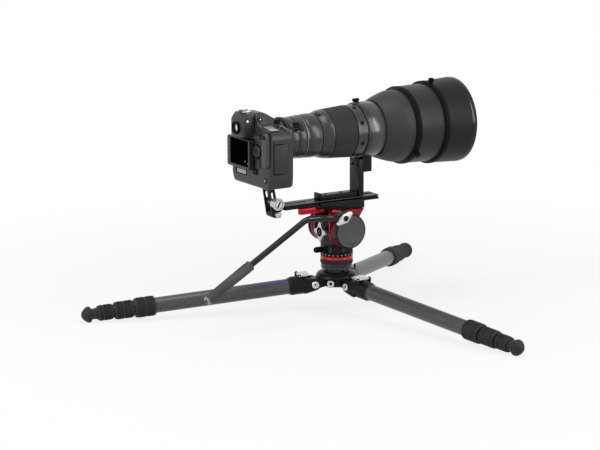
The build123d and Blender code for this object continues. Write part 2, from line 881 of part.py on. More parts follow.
# Plate lever: a red tail behind the receiver on an upright pin
lever_tail = (lever_pin[0] - lever_reach, lever_pin[1])
with BuildPart() as plate_lever:
    with BuildSketch(Plane.XY.offset(lever_bottom)):
        link(lever_pin, lever_radius, lever_tail, lever_radius)
    extrude(amount=receiver_floor_bottom - flat_gap - lever_bottom)
    with BuildSketch(Plane.XY.offset(lever_bottom)):
        link((receiver_rear - lever_step, lever_pin[1]), lever_radius, lever_tail, lever_radius)
    extrude(amount=lever_tail_top - lever_bottom)
    with BuildSketch(Plane.XY.offset(lever_bottom)):
        with Locations(lever_pin):
            Circle(lever_pin_radius)
    extrude(amount=receiver_floor_bottom + lever_pin_rise - lever_bottom)
keep("plate_lever", plate_lever.part)

# Support rail: a dovetail bar with screw slots and a lug for the support arm
with BuildPart() as support_rail:
    with BuildSketch(rear_plane(rail_rear)):
        with BuildLine():
            Polyline(
                (-rail_half, rail_bottom), (rail_half, rail_bottom), (rail_half, rail_bottom + rail_edge),
                (rail_waist, rail_bottom + rail_waist_bottom), (rail_waist, rail_bottom + rail_waist_top),
                (rail_top_half, rail_bottom + rail_lip), (rail_top_half, rail_top),
                (-rail_top_half, rail_top), (-rail_top_half, rail_bottom + rail_lip),
                (-rail_waist, rail_bottom + rail_waist_top), (-rail_waist, rail_bottom + rail_waist_bottom),
                (-rail_half, rail_bottom + rail_edge), close=True,
            )
        make_face()
    extrude(amount=rail_front - rail_rear)
    with BuildSketch(side_plane()):
        with Locations(arm_pivot):
            Circle(arm_lug_radius)
        with Locations((rail_rear - arm_lug_root / 2, (rail_bottom + rail_top) / 2)):
            Rectangle(arm_lug_root, rail_top - rail_bottom)
        make_hull()
    extrude(amount=arm_lug_half, both=True)
    with BuildSketch(Plane.XY.offset(rail_bottom)):
        for slot_x, slot_length in rail_slots:
            with Locations((slot_x, 0)):
                SlotOverall(slot_length, rail_slot_width)
    extrude(amount=rail_top - rail_bottom, mode=Mode.SUBTRACT)
    with BuildSketch(side_plane()):
        with Locations(arm_pivot):
            Circle(arm_pin_radius + running_fit)
    extrude(amount=2 * arm_lug_half, both=True, mode=Mode.SUBTRACT)
keep("support_rail", support_rail.part)

# Lens foot: a plate on the rail with a rear stop and a post up to the collar
with BuildPart() as lens_foot:
    box_between((foot_plate_rear, -foot_plate_half, rail_top), (post_front, foot_plate_half, foot_plate_top))
    fillet(lens_foot.edges().filter_by(Axis.X).group_by(Axis.Z)[-1], foot_plate_round)
    box_between(
        (foot_plate_rear, -foot_plate_half, rail_top), (foot_stop_front, foot_plate_half, foot_stop_top)
    )
    box_between((post_rear, -foot_half, rail_top), (post_front, foot_half, post_top))
keep("lens_foot", lens_foot.part)

# Support arm: a fork of two slotted bars on the rail's lug, with a pad under the camera
arm_lean = degrees(atan2(arm_top[1] - arm_pivot[1], arm_top[0] - arm_pivot[0]))
arm_slot_place = tuple(low + arm_slot_share * (high - low) for low, high in zip(arm_screw, arm_top))
with BuildPart() as support_arm:
    for start in (arm_cheek_outer, -arm_cheek_inner):
        with BuildSketch(side_plane(start)):
            link(arm_pivot, arm_lug_radius, arm_top, arm_tip_radius)
            with Locations(arm_pivot):
                Circle(arm_pin_radius + running_fit, mode=Mode.SUBTRACT)
            with Locations(arm_screw):
                Circle(arm_screw_radius + running_fit, mode=Mode.SUBTRACT)
            with Locations(arm_slot_place):
                SlotCenterToCenter(arm_slot_length, arm_slot_width, rotation=arm_lean, mode=Mode.SUBTRACT)
        extrude(amount=arm_cheek_outer - arm_cheek_inner)
    box_between((arm_pad_rear, -arm_cheek_outer, arm_top[1]), (arm_pad_front, arm_cheek_outer, arm_pad_top))
keep("support_arm", support_arm.part)


def clamp_knob(place, stem_radius, stem_end, shoulder, radius, face):
    """Round clamp knob on the near side, with its stem running in across the arm."""
    plane = Plane(origin=(place[0], 0, place[1]), x_dir=(0, -1, 0), z_dir=(1, 0, 0))
    return turned(plane, (
        (-stem_end, 0), (-stem_end, stem_radius), (shoulder, stem_radius), (shoulder, radius - knob_neck),
        (-face - knob_rim, radius - knob_neck), (-face - knob_rim + edge_break, radius),
        (-face - edge_break, radius), (-face, radius - edge_break), (-face, 0),
    ))


arm_shoulder = arm_cheek_outer + flat_gap
keep("arm_knob", clamp_knob(arm_screw, arm_screw_radius, arm_cheek_outer, arm_shoulder,
                            arm_knob_radius, arm_knob_face))
keep("arm_pivot_knob", clamp_knob(arm_pivot, arm_pin_radius, arm_cheek_outer, arm_shoulder,
                                  arm_small_knob_radius, arm_small_knob_face))

# Lens barrel, with seats for the focus ring, the collar, the glass and the hood
lens_barrel = turned(lens_axis, (
    *barrel_rear_skin, (focus_rear, focus_seat), (focus_front + flat_gap, focus_seat),
    (focus_front + flat_gap, barrel_front_lip), (collar_rear - seat_gap, barrel_front_lip),
    (collar_rear - seat_gap, collar_seat), (collar_front + seat_gap, collar_seat),
    (collar_front + seat_gap, collar_shoulder), (cone_start, cone_start_radius),
    (cone_end, barrel_front_radius), (barrel_front, barrel_front_radius),
    (barrel_front, front_glass_radius + seat_gap), (front_glass_seat, front_glass_radius + seat_gap),
    *barrel_front_bore, (middle_glass_seat, middle_glass_radius + seat_gap + soft_break),
    *barrel_rear_bore, (mount_x + 10.0, rear_glass_radius + seat_gap),
    (rear_glass_seat, rear_glass_radius + seat_gap), (rear_glass_seat, barrel_rear_skin[0][1]),
))
keep("lens_barrel", lens_barrel)


def lens_element(rear, shape, radius):
    """One glass element: a flat rim and a domed front, its shape given as rim width and bulge."""
    rim, bulge = shape
    with BuildPart() as element:
        with BuildSketch(lens_axis):
            with BuildLine():
                Polyline((rear + rim + bulge, 0), (rear, 0), (rear, radius), (rear + rim, radius))
                dome(rear + rim, bulge, radius)
            make_face()
        revolve(axis=Axis(lens_axis.origin, lens_axis.x_dir))
    return element.part


keep(
    "lens_glass",
    lens_element(rear_glass_seat + seat_gap, rear_glass_shape, rear_glass_radius),
    lens_element(middle_glass_seat + seat_gap, middle_glass_shape, middle_glass_radius),
    lens_element(front_glass_seat + seat_gap, front_glass_shape, front_glass_radius),
)

focus_ring = turned(lens_axis, (
    (focus_rear + flat_gap, focus_seat + running_fit), (focus_rear + flat_gap, focus_rear_radius),
    (focus_front - edge_break, focus_front_radius), (focus_front, focus_front_radius - edge_break),
    (focus_front, focus_seat + running_fit),
))
keep("focus_ring", focus_ring)

# Tripod collar: a ring round the barrel with a stub that the post bolts to
collar_bore = collar_seat + seat_gap
with BuildPart() as lens_collar:
    with BuildSketch(lens_axis):
        with BuildLine():
            Polyline(
                (collar_rear, collar_bore), (collar_rear, collar_radius - edge_break),
                (collar_rear + edge_break, collar_radius), (collar_front - edge_break, collar_radius),
                (collar_front, collar_radius - edge_break), (collar_front, collar_bore), close=True,
            )
        make_face()
    revolve(axis=Axis(lens_axis.origin, lens_axis.x_dir))
    box_between(
        (post_front, -stub_half, stub_bottom),
        (stub_front, stub_half, lens_height - collar_radius + stub_overlap),
    )
    with BuildSketch(rear_plane(collar_rear)):
        with Locations((0, lens_height)):
            Circle(collar_bore)
    extrude(amount=collar_front - collar_rear, mode=Mode.SUBTRACT)
    collar_knob_plane = Plane(
        origin=(collar_knob_x, 0, lens_height),
        x_dir=(1, 0, 0),
        z_dir=(0, cos(radians(collar_knob_angle)), sin(radians(collar_knob_angle))),
    )
    with BuildSketch(collar_knob_plane.offset(collar_bore + blind_room)):
        Circle(knob_stem_radius + running_fit)
    extrude(amount=collar_radius, mode=Mode.SUBTRACT)
keep("lens_collar", lens_collar.part)


def radial_knob(x, angle, seat, radius, stem_depth):
    """Thumb screw that stands out from the lens at one angle, its stem in the ring below it."""
    surface = seat + flat_gap
    top = surface + lens_knob_height
    outward = (0, cos(radians(angle)), sin(radians(angle)))
    plane = Plane(origin=(x, 0, lens_height), x_dir=outward, z_dir=(1, 0, 0))
    return turned(plane, (
        (seat - stem_depth, 0), (seat - stem_depth, knob_stem_radius), (surface, knob_stem_radius),
        (surface, radius - edge_break), (surface + edge_break, radius), (top - edge_break, radius),
        (top, radius - edge_break), (top, 0),
    ))


keep("collar_knob", radial_knob(
    collar_knob_x, collar_knob_angle, collar_radius, collar_knob_radius, collar_stem_depth,
))


def hood_ring(outline, knob_x, knob_angle, hole_start):
    """One hood section with the threaded hole of its thumb screw."""
    plane = Plane(
        origin=(knob_x, 0, lens_height),
        x_dir=(1, 0, 0),
        z_dir=(0, cos(radians(knob_angle)), sin(radians(knob_angle))),
    )
    with BuildPart() as ring:
        with BuildSketch(lens_axis):
            with BuildLine():
                Polyline(*outline, close=True)
            make_face()
        revolve(axis=Axis(lens_axis.origin, lens_axis.x_dir))
        with BuildSketch(plane.offset(hole_start)):
            Circle(knob_stem_radius + running_fit)
        extrude(amount=hood_front_radius + soft_break - hole_start, mode=Mode.SUBTRACT)
    return ring.part


rear_hood_bore = barrel_front_radius + seat_gap
rear_rim_radius = hood_rear_radius + rim_height
keep("hood_rear", hood_ring((
    (hood_rear_start, rear_hood_bore), (hood_rear_start, rear_rim_radius),
    (hood_rear_start + rim_width, rear_rim_radius), (hood_rear_start + rim_width, hood_rear_radius),
    (hood_step, hood_step_radius), (hood_rear_end, hood_step_radius),
    (hood_rear_end, hood_step_radius - hood_wall), (barrel_front + flat_gap, hood_rear_radius - hood_wall),
    (barrel_front + flat_gap, rear_hood_bore),
), rear_knob_x, rear_knob_angle, rear_hood_bore + blind_room))

front_hood_bore = hood_step_radius + seat_gap
front_rim_radius = hood_front_rear_radius + rim_height
keep("hood_front", hood_ring((
    (hood_front_start, front_hood_bore), (hood_front_start, front_rim_radius),
    (hood_front_start + rim_width, front_rim_radius), (hood_front_start + rim_width, hood_front_rear_radius),
    (hood_front_end - edge_break, hood_front_radius), (hood_front_end, hood_front_radius - edge_break),
    (hood_front_end, hood_front_radius - hood_wall),
    (hood_sleeve_end, hood_front_rear_radius - hood_wall), (hood_sleeve_end, front_hood_bore),
), front_knob_x, front_knob_angle, front_hood_bore + blind_room))

keep("hood_rear_knob", radial_knob(
    rear_knob_x, rear_knob_angle, rear_rim_radius, hood_knob_radius, hood_stem_depth,
))
keep("hood_front_knob", radial_knob(
    front_knob_x, front_knob_angle, front_rim_radius, hood_knob_radius, hood_stem_depth,
))


# Camera body: a front shell with grip and mount boss, open at the rear
def body_sketch(x, inset=0.0):
    """Sketch the camera's outline at one x, drawn in by the inset."""
    with BuildSketch(rear_plane(x)) as outline:
        with BuildLine():
            Polyline(*body_outline, close=True)
        make_face()
        fillet(outline.vertices(), body_corner)
        if inset:
            offset(amount=-inset, mode=Mode.REPLACE)
    return outline.sketch


with BuildPart() as hump_wedge:
    with BuildSketch(side_plane()):
        with BuildLine():
            Polyline(
                (hump_crest, body_top), (camera_front, hump_front_height),
                (camera_front, body_top + hump_wedge_height), (hump_crest, body_top + hump_wedge_height),
                close=True,
            )
        make_face()
    extrude(amount=-body_side, both=True)

with BuildPart() as body_cavity:
    add(body_sketch(cover_front, camera_wall))
    extrude(amount=camera_front - camera_wall - cover_front, dir=(1, 0, 0))
    add(hump_wedge.part.moved(Location((0, 0, -hump_slope_wall))), mode=Mode.SUBTRACT)

with BuildPart() as camera_body:
    add(body_sketch(cover_front))
    extrude(amount=camera_front - cover_front, dir=(1, 0, 0))
    fillet(camera_body.faces().sort_by(Axis.X)[-1].edges(), shell_round)
    add(hump_wedge.part, mode=Mode.SUBTRACT)
    with BuildSketch(Plane.XY.offset(grip_bottom)):
        with Locations(grip_center):
            RectangleRounded(*grip_size, grip_corner)
    extrude(amount=grip_top - grip_bottom)
    add(body_cavity.part, mode=Mode.SUBTRACT)
    box_between(
        (door_rear - door_frame_rear, body_side + soft_break, door_bottom - door_frame),
        (door_front + door_frame, body_side + door_frame_depth, door_top + door_frame),
    )
    with BuildSketch(rear_plane(camera_front - edge_break)):
        with Locations((0, lens_height)):
            Circle(boss_radius)
    extrude(amount=mount_x - flat_gap - camera_front + edge_break)
    with BuildSketch(rear_plane(boss_bore_start)):
        with Locations((0, lens_height)):
            Circle(boss_bore)
    extrude(amount=mount_x - boss_bore_start, mode=Mode.SUBTRACT)
    with BuildSketch(Plane.XY.offset(shutter_pocket - camera_wall)):
        with Locations(shutter_place):
            Circle(shutter_radius + camera_wall)
    extrude(amount=shutter_collar - shutter_pocket + camera_wall)
    with BuildSketch(Plane.XY.offset(shutter_pocket)):
        with Locations(shutter_place):
            Circle(shutter_radius + running_fit)
    extrude(amount=shutter_top - shutter_pocket, mode=Mode.SUBTRACT)
    with BuildSketch(Plane.XY.offset(door_bottom - flat_gap)):
        with Locations(((door_rear + door_front) / 2 + edge_break, body_side)):
            Rectangle(door_front - door_rear + 2 * soft_break, 2 * (door_thick + flat_gap))
    extrude(amount=door_top - door_bottom + 2 * flat_gap, mode=Mode.SUBTRACT)
    with BuildSketch(Plane.XY.offset(door_bottom - door_pin_reach - flat_gap)):
        with Locations((door_front, body_side + door_thick / 2)):
            Circle(door_pin_radius + running_fit)
    extrude(amount=door_top - door_bottom + 2 * door_pin_reach + 2 * flat_gap, mode=Mode.SUBTRACT)
keep("camera_body", camera_body.part)

with BuildPart() as card_door:
    with BuildSketch(Plane.XY.offset(door_bottom)):
        with Locations((door_front, body_side + door_thick / 2)):
            Circle(door_thick / 2)
        with Locations(((door_front + door_rear) / 2, body_side + door_thick / 2)):
            Rectangle(door_front - door_rear, door_thick)
    extrude(amount=door_top - door_bottom)
    with BuildSketch(Plane.XY.offset(door_bottom - door_pin_reach)):
        with Locations((door_front, body_side + door_thick / 2)):
            Circle(door_pin_radius)
    extrude(amount=door_top - door_bottom + 2 * door_pin_reach)
keep("card_door", card_door.part)

shutter_axis = Plane(origin=(*shutter_place, 0), x_dir=(0, 0, 1), z_dir=(0, 1, 0))
shutter_button = turned(shutter_axis, (
    (shutter_bottom, 0), (shutter_bottom, shutter_radius), (shutter_top - edge_break, shutter_radius),
    (shutter_top, shutter_radius - edge_break), (shutter_top, 0),
))
keep("shutter_button", shutter_button)

# Camera back: cover with the screen block, the finder block, the shoe and the thumb rest
with BuildPart() as camera_back:
    add(body_sketch(camera_rear))
    extrude(amount=cover_front - seat_gap - camera_rear, dir=(1, 0, 0))
    fillet(camera_back.faces().sort_by(Axis.X)[0].edges(), cover_round)
    for center, size, rear in (
        (screen_center, screen_size, screen_rear), (finder_center, finder_size, finder_rear),
        (thumb_center, thumb_size, thumb_rear),
    ):
        with BuildSketch(rear_plane(rear)):
            with Locations(center):
                RectangleRounded(*size, block_corner)
        extrude(amount=camera_rear + cover_round - rear)
    with BuildSketch(side_plane()):
        with BuildLine():
            Polyline(
                (finder_rear, finder_rear_top), (finder_roof_rear, body_top), (finder_rear, body_top),
                close=True,
            )
        make_face()
    extrude(amount=finder_size[0], both=True, mode=Mode.SUBTRACT)
    for center, size, face in (
        (glass_center, glass_size, screen_rear), (info_center, info_size, camera_rear),
    ):
        with BuildSketch(rear_plane(face)):
            with Locations(center):
                Rectangle(size[0] + 2 * seat_gap, size[1] + 2 * seat_gap)
        extrude(amount=glass_thick + seat_gap, mode=Mode.SUBTRACT)
    with BuildSketch(rear_plane(finder_rear)):
        with Locations((finder_center[0], eyepiece_height)):
            Circle(eyepiece_bore)
    extrude(amount=finder_depth, mode=Mode.SUBTRACT)
    with BuildSketch(rear_plane(selector_pocket)):
        with Locations(selector_place):
            Circle(selector_radius + running_fit)
    extrude(amount=selector_rear - selector_pocket, mode=Mode.SUBTRACT)
    dial_middle = dial_height + dial_thick / 2
    with BuildSketch(Plane.XY.offset(dial_height - dial_room)):
        with Locations(dial_place):
            Circle(dial_radius + dial_room)
    extrude(amount=dial_thick + 2 * dial_room, mode=Mode.SUBTRACT)
    with BuildSketch(Plane.XY.offset(dial_middle - dial_pin_half - flat_gap)):
        with Locations(dial_place):
            Circle(dial_pin_radius + running_fit)
    extrude(amount=2 * (dial_pin_half + flat_gap), mode=Mode.SUBTRACT)
    box_between((shoe_rear, -shoe_half, body_top - edge_break), (shoe_front, shoe_half, body_top + shoe_base))
    for side in (-1, 1):
        inner, outer = sorted((side * (shoe_half - shoe_wall), side * shoe_half))
        box_between((shoe_rear, inner, body_top), (shoe_front, outer, body_top + shoe_height))
        inner, outer = sorted((side * shoe_mouth, side * shoe_half))
        box_between(
            (shoe_rear, inner, body_top + shoe_height - shoe_wall),
            (shoe_front, outer, body_top + shoe_height),
        )
keep("camera_back", camera_back.part)

dial_axis = Plane(origin=(*dial_place, 0), x_dir=(0, 0, 1), z_dir=(0, 1, 0))
command_dial = turned(dial_axis, (
    (dial_middle - dial_pin_half, 0), (dial_middle - dial_pin_half, dial_pin_radius),
    (dial_height, dial_pin_radius), (dial_height, dial_radius), (dial_height + dial_thick, dial_radius),
    (dial_height + dial_thick, dial_pin_radius), (dial_middle + dial_pin_half, dial_pin_radius),
    (dial_middle + dial_pin_half, 0),
))
keep("command_dial", command_dial)

selector_axis = Plane(
    origin=(0, selector_place[0], selector_place[1]), x_dir=(-1, 0, 0), z_dir=(0, 1, 0)
)
multi_selector = turned(selector_axis, (
    (-selector_front, 0), (-selector_front, selector_radius), (-selector_rear - edge_break, selector_radius),
    (-selector_rear, selector_radius - edge_break), (-selector_rear - selector_dish, 0),
))
keep("multi_selector", multi_selector)


def window(center, size, face):
    """Glass window seated in its pocket on the cover."""
    with BuildPart() as glass:
        with BuildSketch(rear_plane(face)):
            with Locations(center):
                Rectangle(*size)
        extrude(amount=glass_thick)
    return glass.part


keep("monitor", window(glass_center, glass_size, screen_rear), window(info_center, info_size, camera_rear))

finder_axis = Plane(
    origin=(0, finder_center[0], eyepiece_height), x_dir=(-1, 0, 0), z_dir=(0, 1, 0)
)
eyepiece = turned(finder_axis, (
    (-finder_rear, eyepiece_bore), (-finder_rear, eyepiece_radius),
    (-eyepiece_rear - soft_break, eyepiece_radius), (-eyepiece_rear, eyepiece_radius - soft_break),
    (-eyepiece_rear, eyepiece_bore + soft_break), (-eyepiece_rear - eyepiece_cup, eyepiece_bore),
))
keep("eyepiece", eyepiece)


# Inside the camera: mirror box, mirror, sensor, prism and battery
def block(low, high):
    """A plain rectangular piece between two corners."""
    with BuildPart() as piece:
        box_between(low, high)
    return piece.part


inner_front = camera_front - camera_wall - seat_gap
inner_bottom = camera_bottom + camera_wall
mirror_box_high = lens_height + mirror_box_above
prism_low = mirror_box_high + seat_gap
with BuildPart() as mirror_box:
    box_between(
        (mirror_box_rear, -mirror_box_half, lens_height - mirror_box_below),
        (inner_front, mirror_box_half, mirror_box_high),
    )
    with BuildSketch(rear_plane(mirror_box_rear)):
        with Locations((0, lens_height)):
            Rectangle(*mirror_box_window)
    extrude(amount=inner_front - mirror_box_rear, mode=Mode.SUBTRACT)

with BuildPart() as mirror:
    with BuildSketch(side_plane()):
        with Locations((mirror_x, lens_height)):
            Rectangle(*mirror_size, rotation=45)
    extrude(amount=mirror_box_window[0] / 2 - flat_gap, both=True)

keep(
    "camera_internals",
    mirror_box.part,
    mirror.part,
    block(
        (mirror_box_rear - sensor_thick, -sensor_half[0], lens_height - sensor_half[1]),
        (mirror_box_rear - seat_gap, sensor_half[0], lens_height + sensor_half[1]),
    ),
    block(
        (prism_rear, -prism_half, prism_low),
        (prism_front, prism_half, prism_low + prism_height),
    ),
    block(
        (battery_rear, -battery_half, inner_bottom + seat_gap),
        (battery_front, battery_half, inner_bottom + battery_height),
    ),
)
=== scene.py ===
import json
from math import atan2, cos, pi, radians, sin, tau

import bmesh
import bpy
from bpy.props import FloatProperty, FloatVectorProperty, IntProperty, PointerProperty
from mathutils import Matrix, Vector


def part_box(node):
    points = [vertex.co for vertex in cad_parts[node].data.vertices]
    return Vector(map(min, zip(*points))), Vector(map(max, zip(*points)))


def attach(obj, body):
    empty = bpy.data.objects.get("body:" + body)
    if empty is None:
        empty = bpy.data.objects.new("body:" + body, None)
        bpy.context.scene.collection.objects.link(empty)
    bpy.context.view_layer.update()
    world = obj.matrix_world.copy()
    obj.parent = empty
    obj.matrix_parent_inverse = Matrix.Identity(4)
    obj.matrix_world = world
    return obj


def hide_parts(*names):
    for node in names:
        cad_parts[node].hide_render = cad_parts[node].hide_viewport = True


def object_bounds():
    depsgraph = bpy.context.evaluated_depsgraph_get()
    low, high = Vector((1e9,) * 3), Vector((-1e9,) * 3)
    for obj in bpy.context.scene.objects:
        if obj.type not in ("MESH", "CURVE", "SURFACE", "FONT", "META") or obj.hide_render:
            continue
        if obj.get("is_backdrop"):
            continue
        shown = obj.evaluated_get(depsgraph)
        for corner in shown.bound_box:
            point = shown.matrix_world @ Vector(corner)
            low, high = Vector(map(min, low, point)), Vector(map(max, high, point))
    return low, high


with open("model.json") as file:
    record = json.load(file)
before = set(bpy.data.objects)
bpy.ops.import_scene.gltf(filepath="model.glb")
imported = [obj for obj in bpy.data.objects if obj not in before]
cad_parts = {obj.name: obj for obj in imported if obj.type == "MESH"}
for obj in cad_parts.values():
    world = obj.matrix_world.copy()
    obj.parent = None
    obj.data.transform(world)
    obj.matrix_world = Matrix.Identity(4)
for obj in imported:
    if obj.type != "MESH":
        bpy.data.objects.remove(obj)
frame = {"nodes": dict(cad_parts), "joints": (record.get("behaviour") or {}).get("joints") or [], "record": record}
cad_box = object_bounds()

bl_info = {
    "name": "Camera on a Low Tripod",
    "version": (1, 0, 0),
    "blender": (4, 5, 0),
    "location": "View3D > Sidebar > Camera Rig",
    "description": "Builds a long-lens camera, its fluid head and its tripod on their packed frame",
    "category": "Object",
}

# Shapes are drawn in millimetres, outlines as (along, radius) points, and a finished piece is in metres
MM = 0.001
SHARP = radians(28)
LEGS = (1, 2, 3)
UP = (0, 0, 1)
REARWARD = (-1, 0, 0)
TO_GRIP = (0, -1, 0)


def box_mm(node):
    """Lowest and highest corners of a CAD node's box in millimetres."""
    return [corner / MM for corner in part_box(node)]


def middle(node):
    """Middle of a CAD node's box in millimetres."""
    low, high = box_mm(node)
    return (low + high) / 2


def joint(name):
    """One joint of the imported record."""
    return next(entry for entry in frame["joints"] if entry["name"] == name)


def joint_spot(name):
    """A joint's place in millimetres."""
    return Vector(joint(name)["pos_m"]) / MM


def axis_place(origin, along):
    """Place whose x axis runs along a direction from an origin."""
    turn = Vector((1, 0, 0)).rotation_difference(Vector(along))
    return Matrix.Translation(origin) @ turn.to_matrix().to_4x4()


def leg_place(number):
    """Place at a leg's pivot: x down the leg, y along the pivot bolt and z up across the leg."""
    along = Vector(joint(f"leg_{number}_slide_2")["axis"])
    bolt = Vector(joint(f"leg_{number}_spread")["axis"])
    turn = Matrix((along, bolt, along.cross(bolt))).transposed().to_4x4()
    return Matrix.Translation(joint_spot(f"leg_{number}_spread")) @ turn


LENS_HEIGHT = middle("hood_front").z
TILT_HEIGHT = joint_spot("tilt").z
LENS = Matrix.Translation((0, 0, LENS_HEIGHT))
UPRIGHT = axis_place((0, 0, 0), UP)
ON_SIDE = Matrix.Rotation(pi / 2, 4, "X")
ON_LEFT = Matrix.Rotation(pi, 4, "Z") @ ON_SIDE
ON_REAR = Matrix(((0, 0, -1, 0), (-1, 0, 0, 0), (0, 1, 0, 0), (0, 0, 0, 1)))
ON_FRONT = Matrix(((0, 0, 1, 0), (1, 0, 0, 0), (0, 1, 0, 0), (0, 0, 0, 1)))


class RigColours(bpy.types.PropertyGroup):
    """Base colours of the finishes, in linear light."""

    black_alloy: FloatVectorProperty(
        name="Black Alloy", description="Hub, bar, rail and receiver", subtype="COLOR",
        default=(0.008, 0.008, 0.009), min=0, max=1)
    grey_alloy: FloatVectorProperty(
        name="Grey Alloy", description="Covers of the tilt drums", subtype="COLOR",
        default=(0.072, 0.072, 0.075), min=0, max=1)
    red_alloy: FloatVectorProperty(
        name="Red Alloy", description="Tilt frame, plate lever and band of the drag ring", subtype="COLOR",
        default=(0.50, 0.011, 0.027), min=0, max=1)
    silver: FloatVectorProperty(
        name="Silver", description="Bright knobs, levers, latches and bolts", subtype="COLOR",
        default=(0.56, 0.56, 0.57), min=0, max=1)
    carbon_dark: FloatVectorProperty(
        name="Carbon Dark", description="Dark tows of the leg tubes' weave", subtype="COLOR",
        default=(0.042, 0.042, 0.043), min=0, max=1)
    carbon_light: FloatVectorProperty(
        name="Carbon Light", description="Light tows of the leg tubes' weave", subtype="COLOR",
        default=(0.086, 0.085, 0.084), min=0, max=1)
    leg_band: FloatVectorProperty(
        name="Leg Band", description="Plain tinted band near the top of a leg tube", subtype="COLOR",
        default=(0.055, 0.062, 0.20), min=0, max=1)
    rubber: FloatVectorProperty(
        name="Rubber", description="Twist locks, feet, focus ring and drag ring", subtype="COLOR",
        default=(0.022, 0.022, 0.023), min=0, max=1)
    lens_paint: FloatVectorProperty(
        name="Lens Paint", description="Barrel and collar", subtype="COLOR",
        default=(0.026, 0.026, 0.027), min=0, max=1)
    hood_paint: FloatVectorProperty(
        name="Hood Paint", description="Rear hood section", subtype="COLOR",
        default=(0.017, 0.017, 0.018), min=0, max=1)
    camera_plastic: FloatVectorProperty(
        name="Camera Plastic", description="Shell and rear cover of the camera", subtype="COLOR",
        default=(0.026, 0.026, 0.027), min=0, max=1)
    camera_skin: FloatVectorProperty(
        name="Camera Skin", description="Grained rubber of the grip and the card door", subtype="COLOR",
        default=(0.022, 0.022, 0.023), min=0, max=1)
    print_white: FloatVectorProperty(
        name="Print White", description="Tick marks", subtype="COLOR",
        default=(0.70, 0.66, 0.66), min=0, max=1)


class RigDetails(bpy.types.PropertyGroup):
    """Counts and small sizes of the surface details."""

    lock_ribs: IntProperty(
        name="Lock Ribs", description="Ribs round each twist lock", default=44, min=12, max=96)
    focus_ribs: IntProperty(
        name="Focus Ribs", description="Ribs round the focus ring", default=120, min=24, max=200)
    drag_ribs: IntProperty(
        name="Drag Ribs", description="Ribs round the drag ring", default=80, min=24, max=160)
    knob_ribs: IntProperty(
        name="Knob Ribs", description="Ribs round a small thumb screw", default=24, min=8, max=60)
    pan_ticks: IntProperty(
        name="Pan Ticks", description="Tick marks round the pan scale", default=24, min=8, max=72)
    rib_height: FloatProperty(
        name="Rib Height", description="Height of the ribs on rings and locks", unit="LENGTH",
        default=0.0006, min=0.0, max=0.002)
    weave_pitch: FloatProperty(
        name="Weave Pitch", description="Width of one tow of the carbon weave", unit="LENGTH",
        default=0.0013, min=0.001, max=0.02)


class StageSettings(bpy.types.PropertyGroup):
    """Camera and lights of the studio."""

    azimuth: FloatProperty(
        name="Azimuth", description="Camera's turn about the object, 0 looking along +Y", subtype="ANGLE",
        default=radians(-32.3))
    elevation: FloatProperty(
        name="Elevation", description="Camera's height above the horizon", subtype="ANGLE",
        default=radians(12.1))
    distance: FloatProperty(
        name="Distance", description="Camera's distance from the aim point", unit="LENGTH",
        default=6.953, min=0.5)
    focal_length: FloatProperty(
        name="Focal Length", description="Camera's focal length", unit="CAMERA", default=192.0, min=10)
    aim: FloatVectorProperty(
        name="Aim", description="Point at the middle of the picture", subtype="XYZ",
        default=(-0.0949, 0.0, 0.2021))
    key_power: FloatProperty(
        name="Key Light", description="Left strip softbox", unit="POWER", default=24.0, min=0)
    fill_power: FloatProperty(
        name="Fill Light", description="Right strip softbox", unit="POWER", default=20.0, min=0)
    top_power: FloatProperty(
        name="Top Light", description="Overhead softbox", unit="POWER", default=16.0, min=0)
    sky: FloatProperty(name="Sky", description="Even light from all round", default=0.26, min=0, max=2)


# Finishes
FINISH = {}
# Sockets of a colour Mix node, whose names repeat
MIX_DARK, MIX_LIGHT, MIX_COLOUR = 6, 7, 2


def node(owner, kind, **inputs):
    """New node of a material or world with some of its inputs set."""
    made = owner.node_tree.nodes.new(kind)
    for key, value in inputs.items():
        made.inputs[key.replace("_", " ").title()].default_value = value
    return made


def wire(owner, source, target):
    """Join an output socket to an input socket."""
    owner.node_tree.links.new(source, target)


def maths(owner, operation, first, second):
    """Result of a sum on two outputs."""
    made = node(owner, "ShaderNodeMath")
    made.operation = operation
    wire(owner, first, made.inputs[0])
    wire(owner, second, made.inputs[1])
    return made.outputs["Value"]


def main_shader(material):
    """The shader that every finish has."""
    return material.node_tree.nodes["Principled BSDF"]


def speckle(material, scale, detail, roughness):
    """Noise on the piece's own coordinates."""
    place = node(material, "ShaderNodeTexCoord")
    noise = node(material, "ShaderNodeTexNoise", scale=scale, detail=detail, roughness=roughness)
    wire(material, place.outputs["Object"], noise.inputs["Vector"])
    return noise.outputs["Fac"]


def two_toned(material, amount, dark, light):
    """Blend the base colour from a dark to a light one by an output."""
    blend = node(material, "ShaderNodeMix")
    blend.data_type = "RGBA"
    blend.inputs[MIX_DARK].default_value = (*dark, 1)
    blend.inputs[MIX_LIGHT].default_value = (*light, 1)
    wire(material, amount, blend.inputs[0])
    wire(material, blend.outputs[MIX_COLOUR], main_shader(material).inputs["Base Color"])


def mottled(material, scale, share):
    """Vary the base colour a little from place to place."""
    colour = main_shader(material).inputs["Base Color"].default_value[:3]
    dark = [part * (1 - share) for part in colour]
    light = [min(1, part * (1 + share)) for part in colour]
    two_toned(material, speckle(material, scale=scale, detail=4.0, roughness=0.6), dark, light)


def scuffed(material, scale, spread):
    """Vary the roughness from place to place, as handling does."""
    rough = main_shader(material).inputs["Roughness"]
    middling = rough.default_value
    span = node(material, "ShaderNodeMapRange", to_min=middling - spread, to_max=middling + spread)
    wire(material, speckle(material, scale=scale, detail=5.0, roughness=0.65), span.inputs["Value"])
    wire(material, span.outputs["Result"], rough)


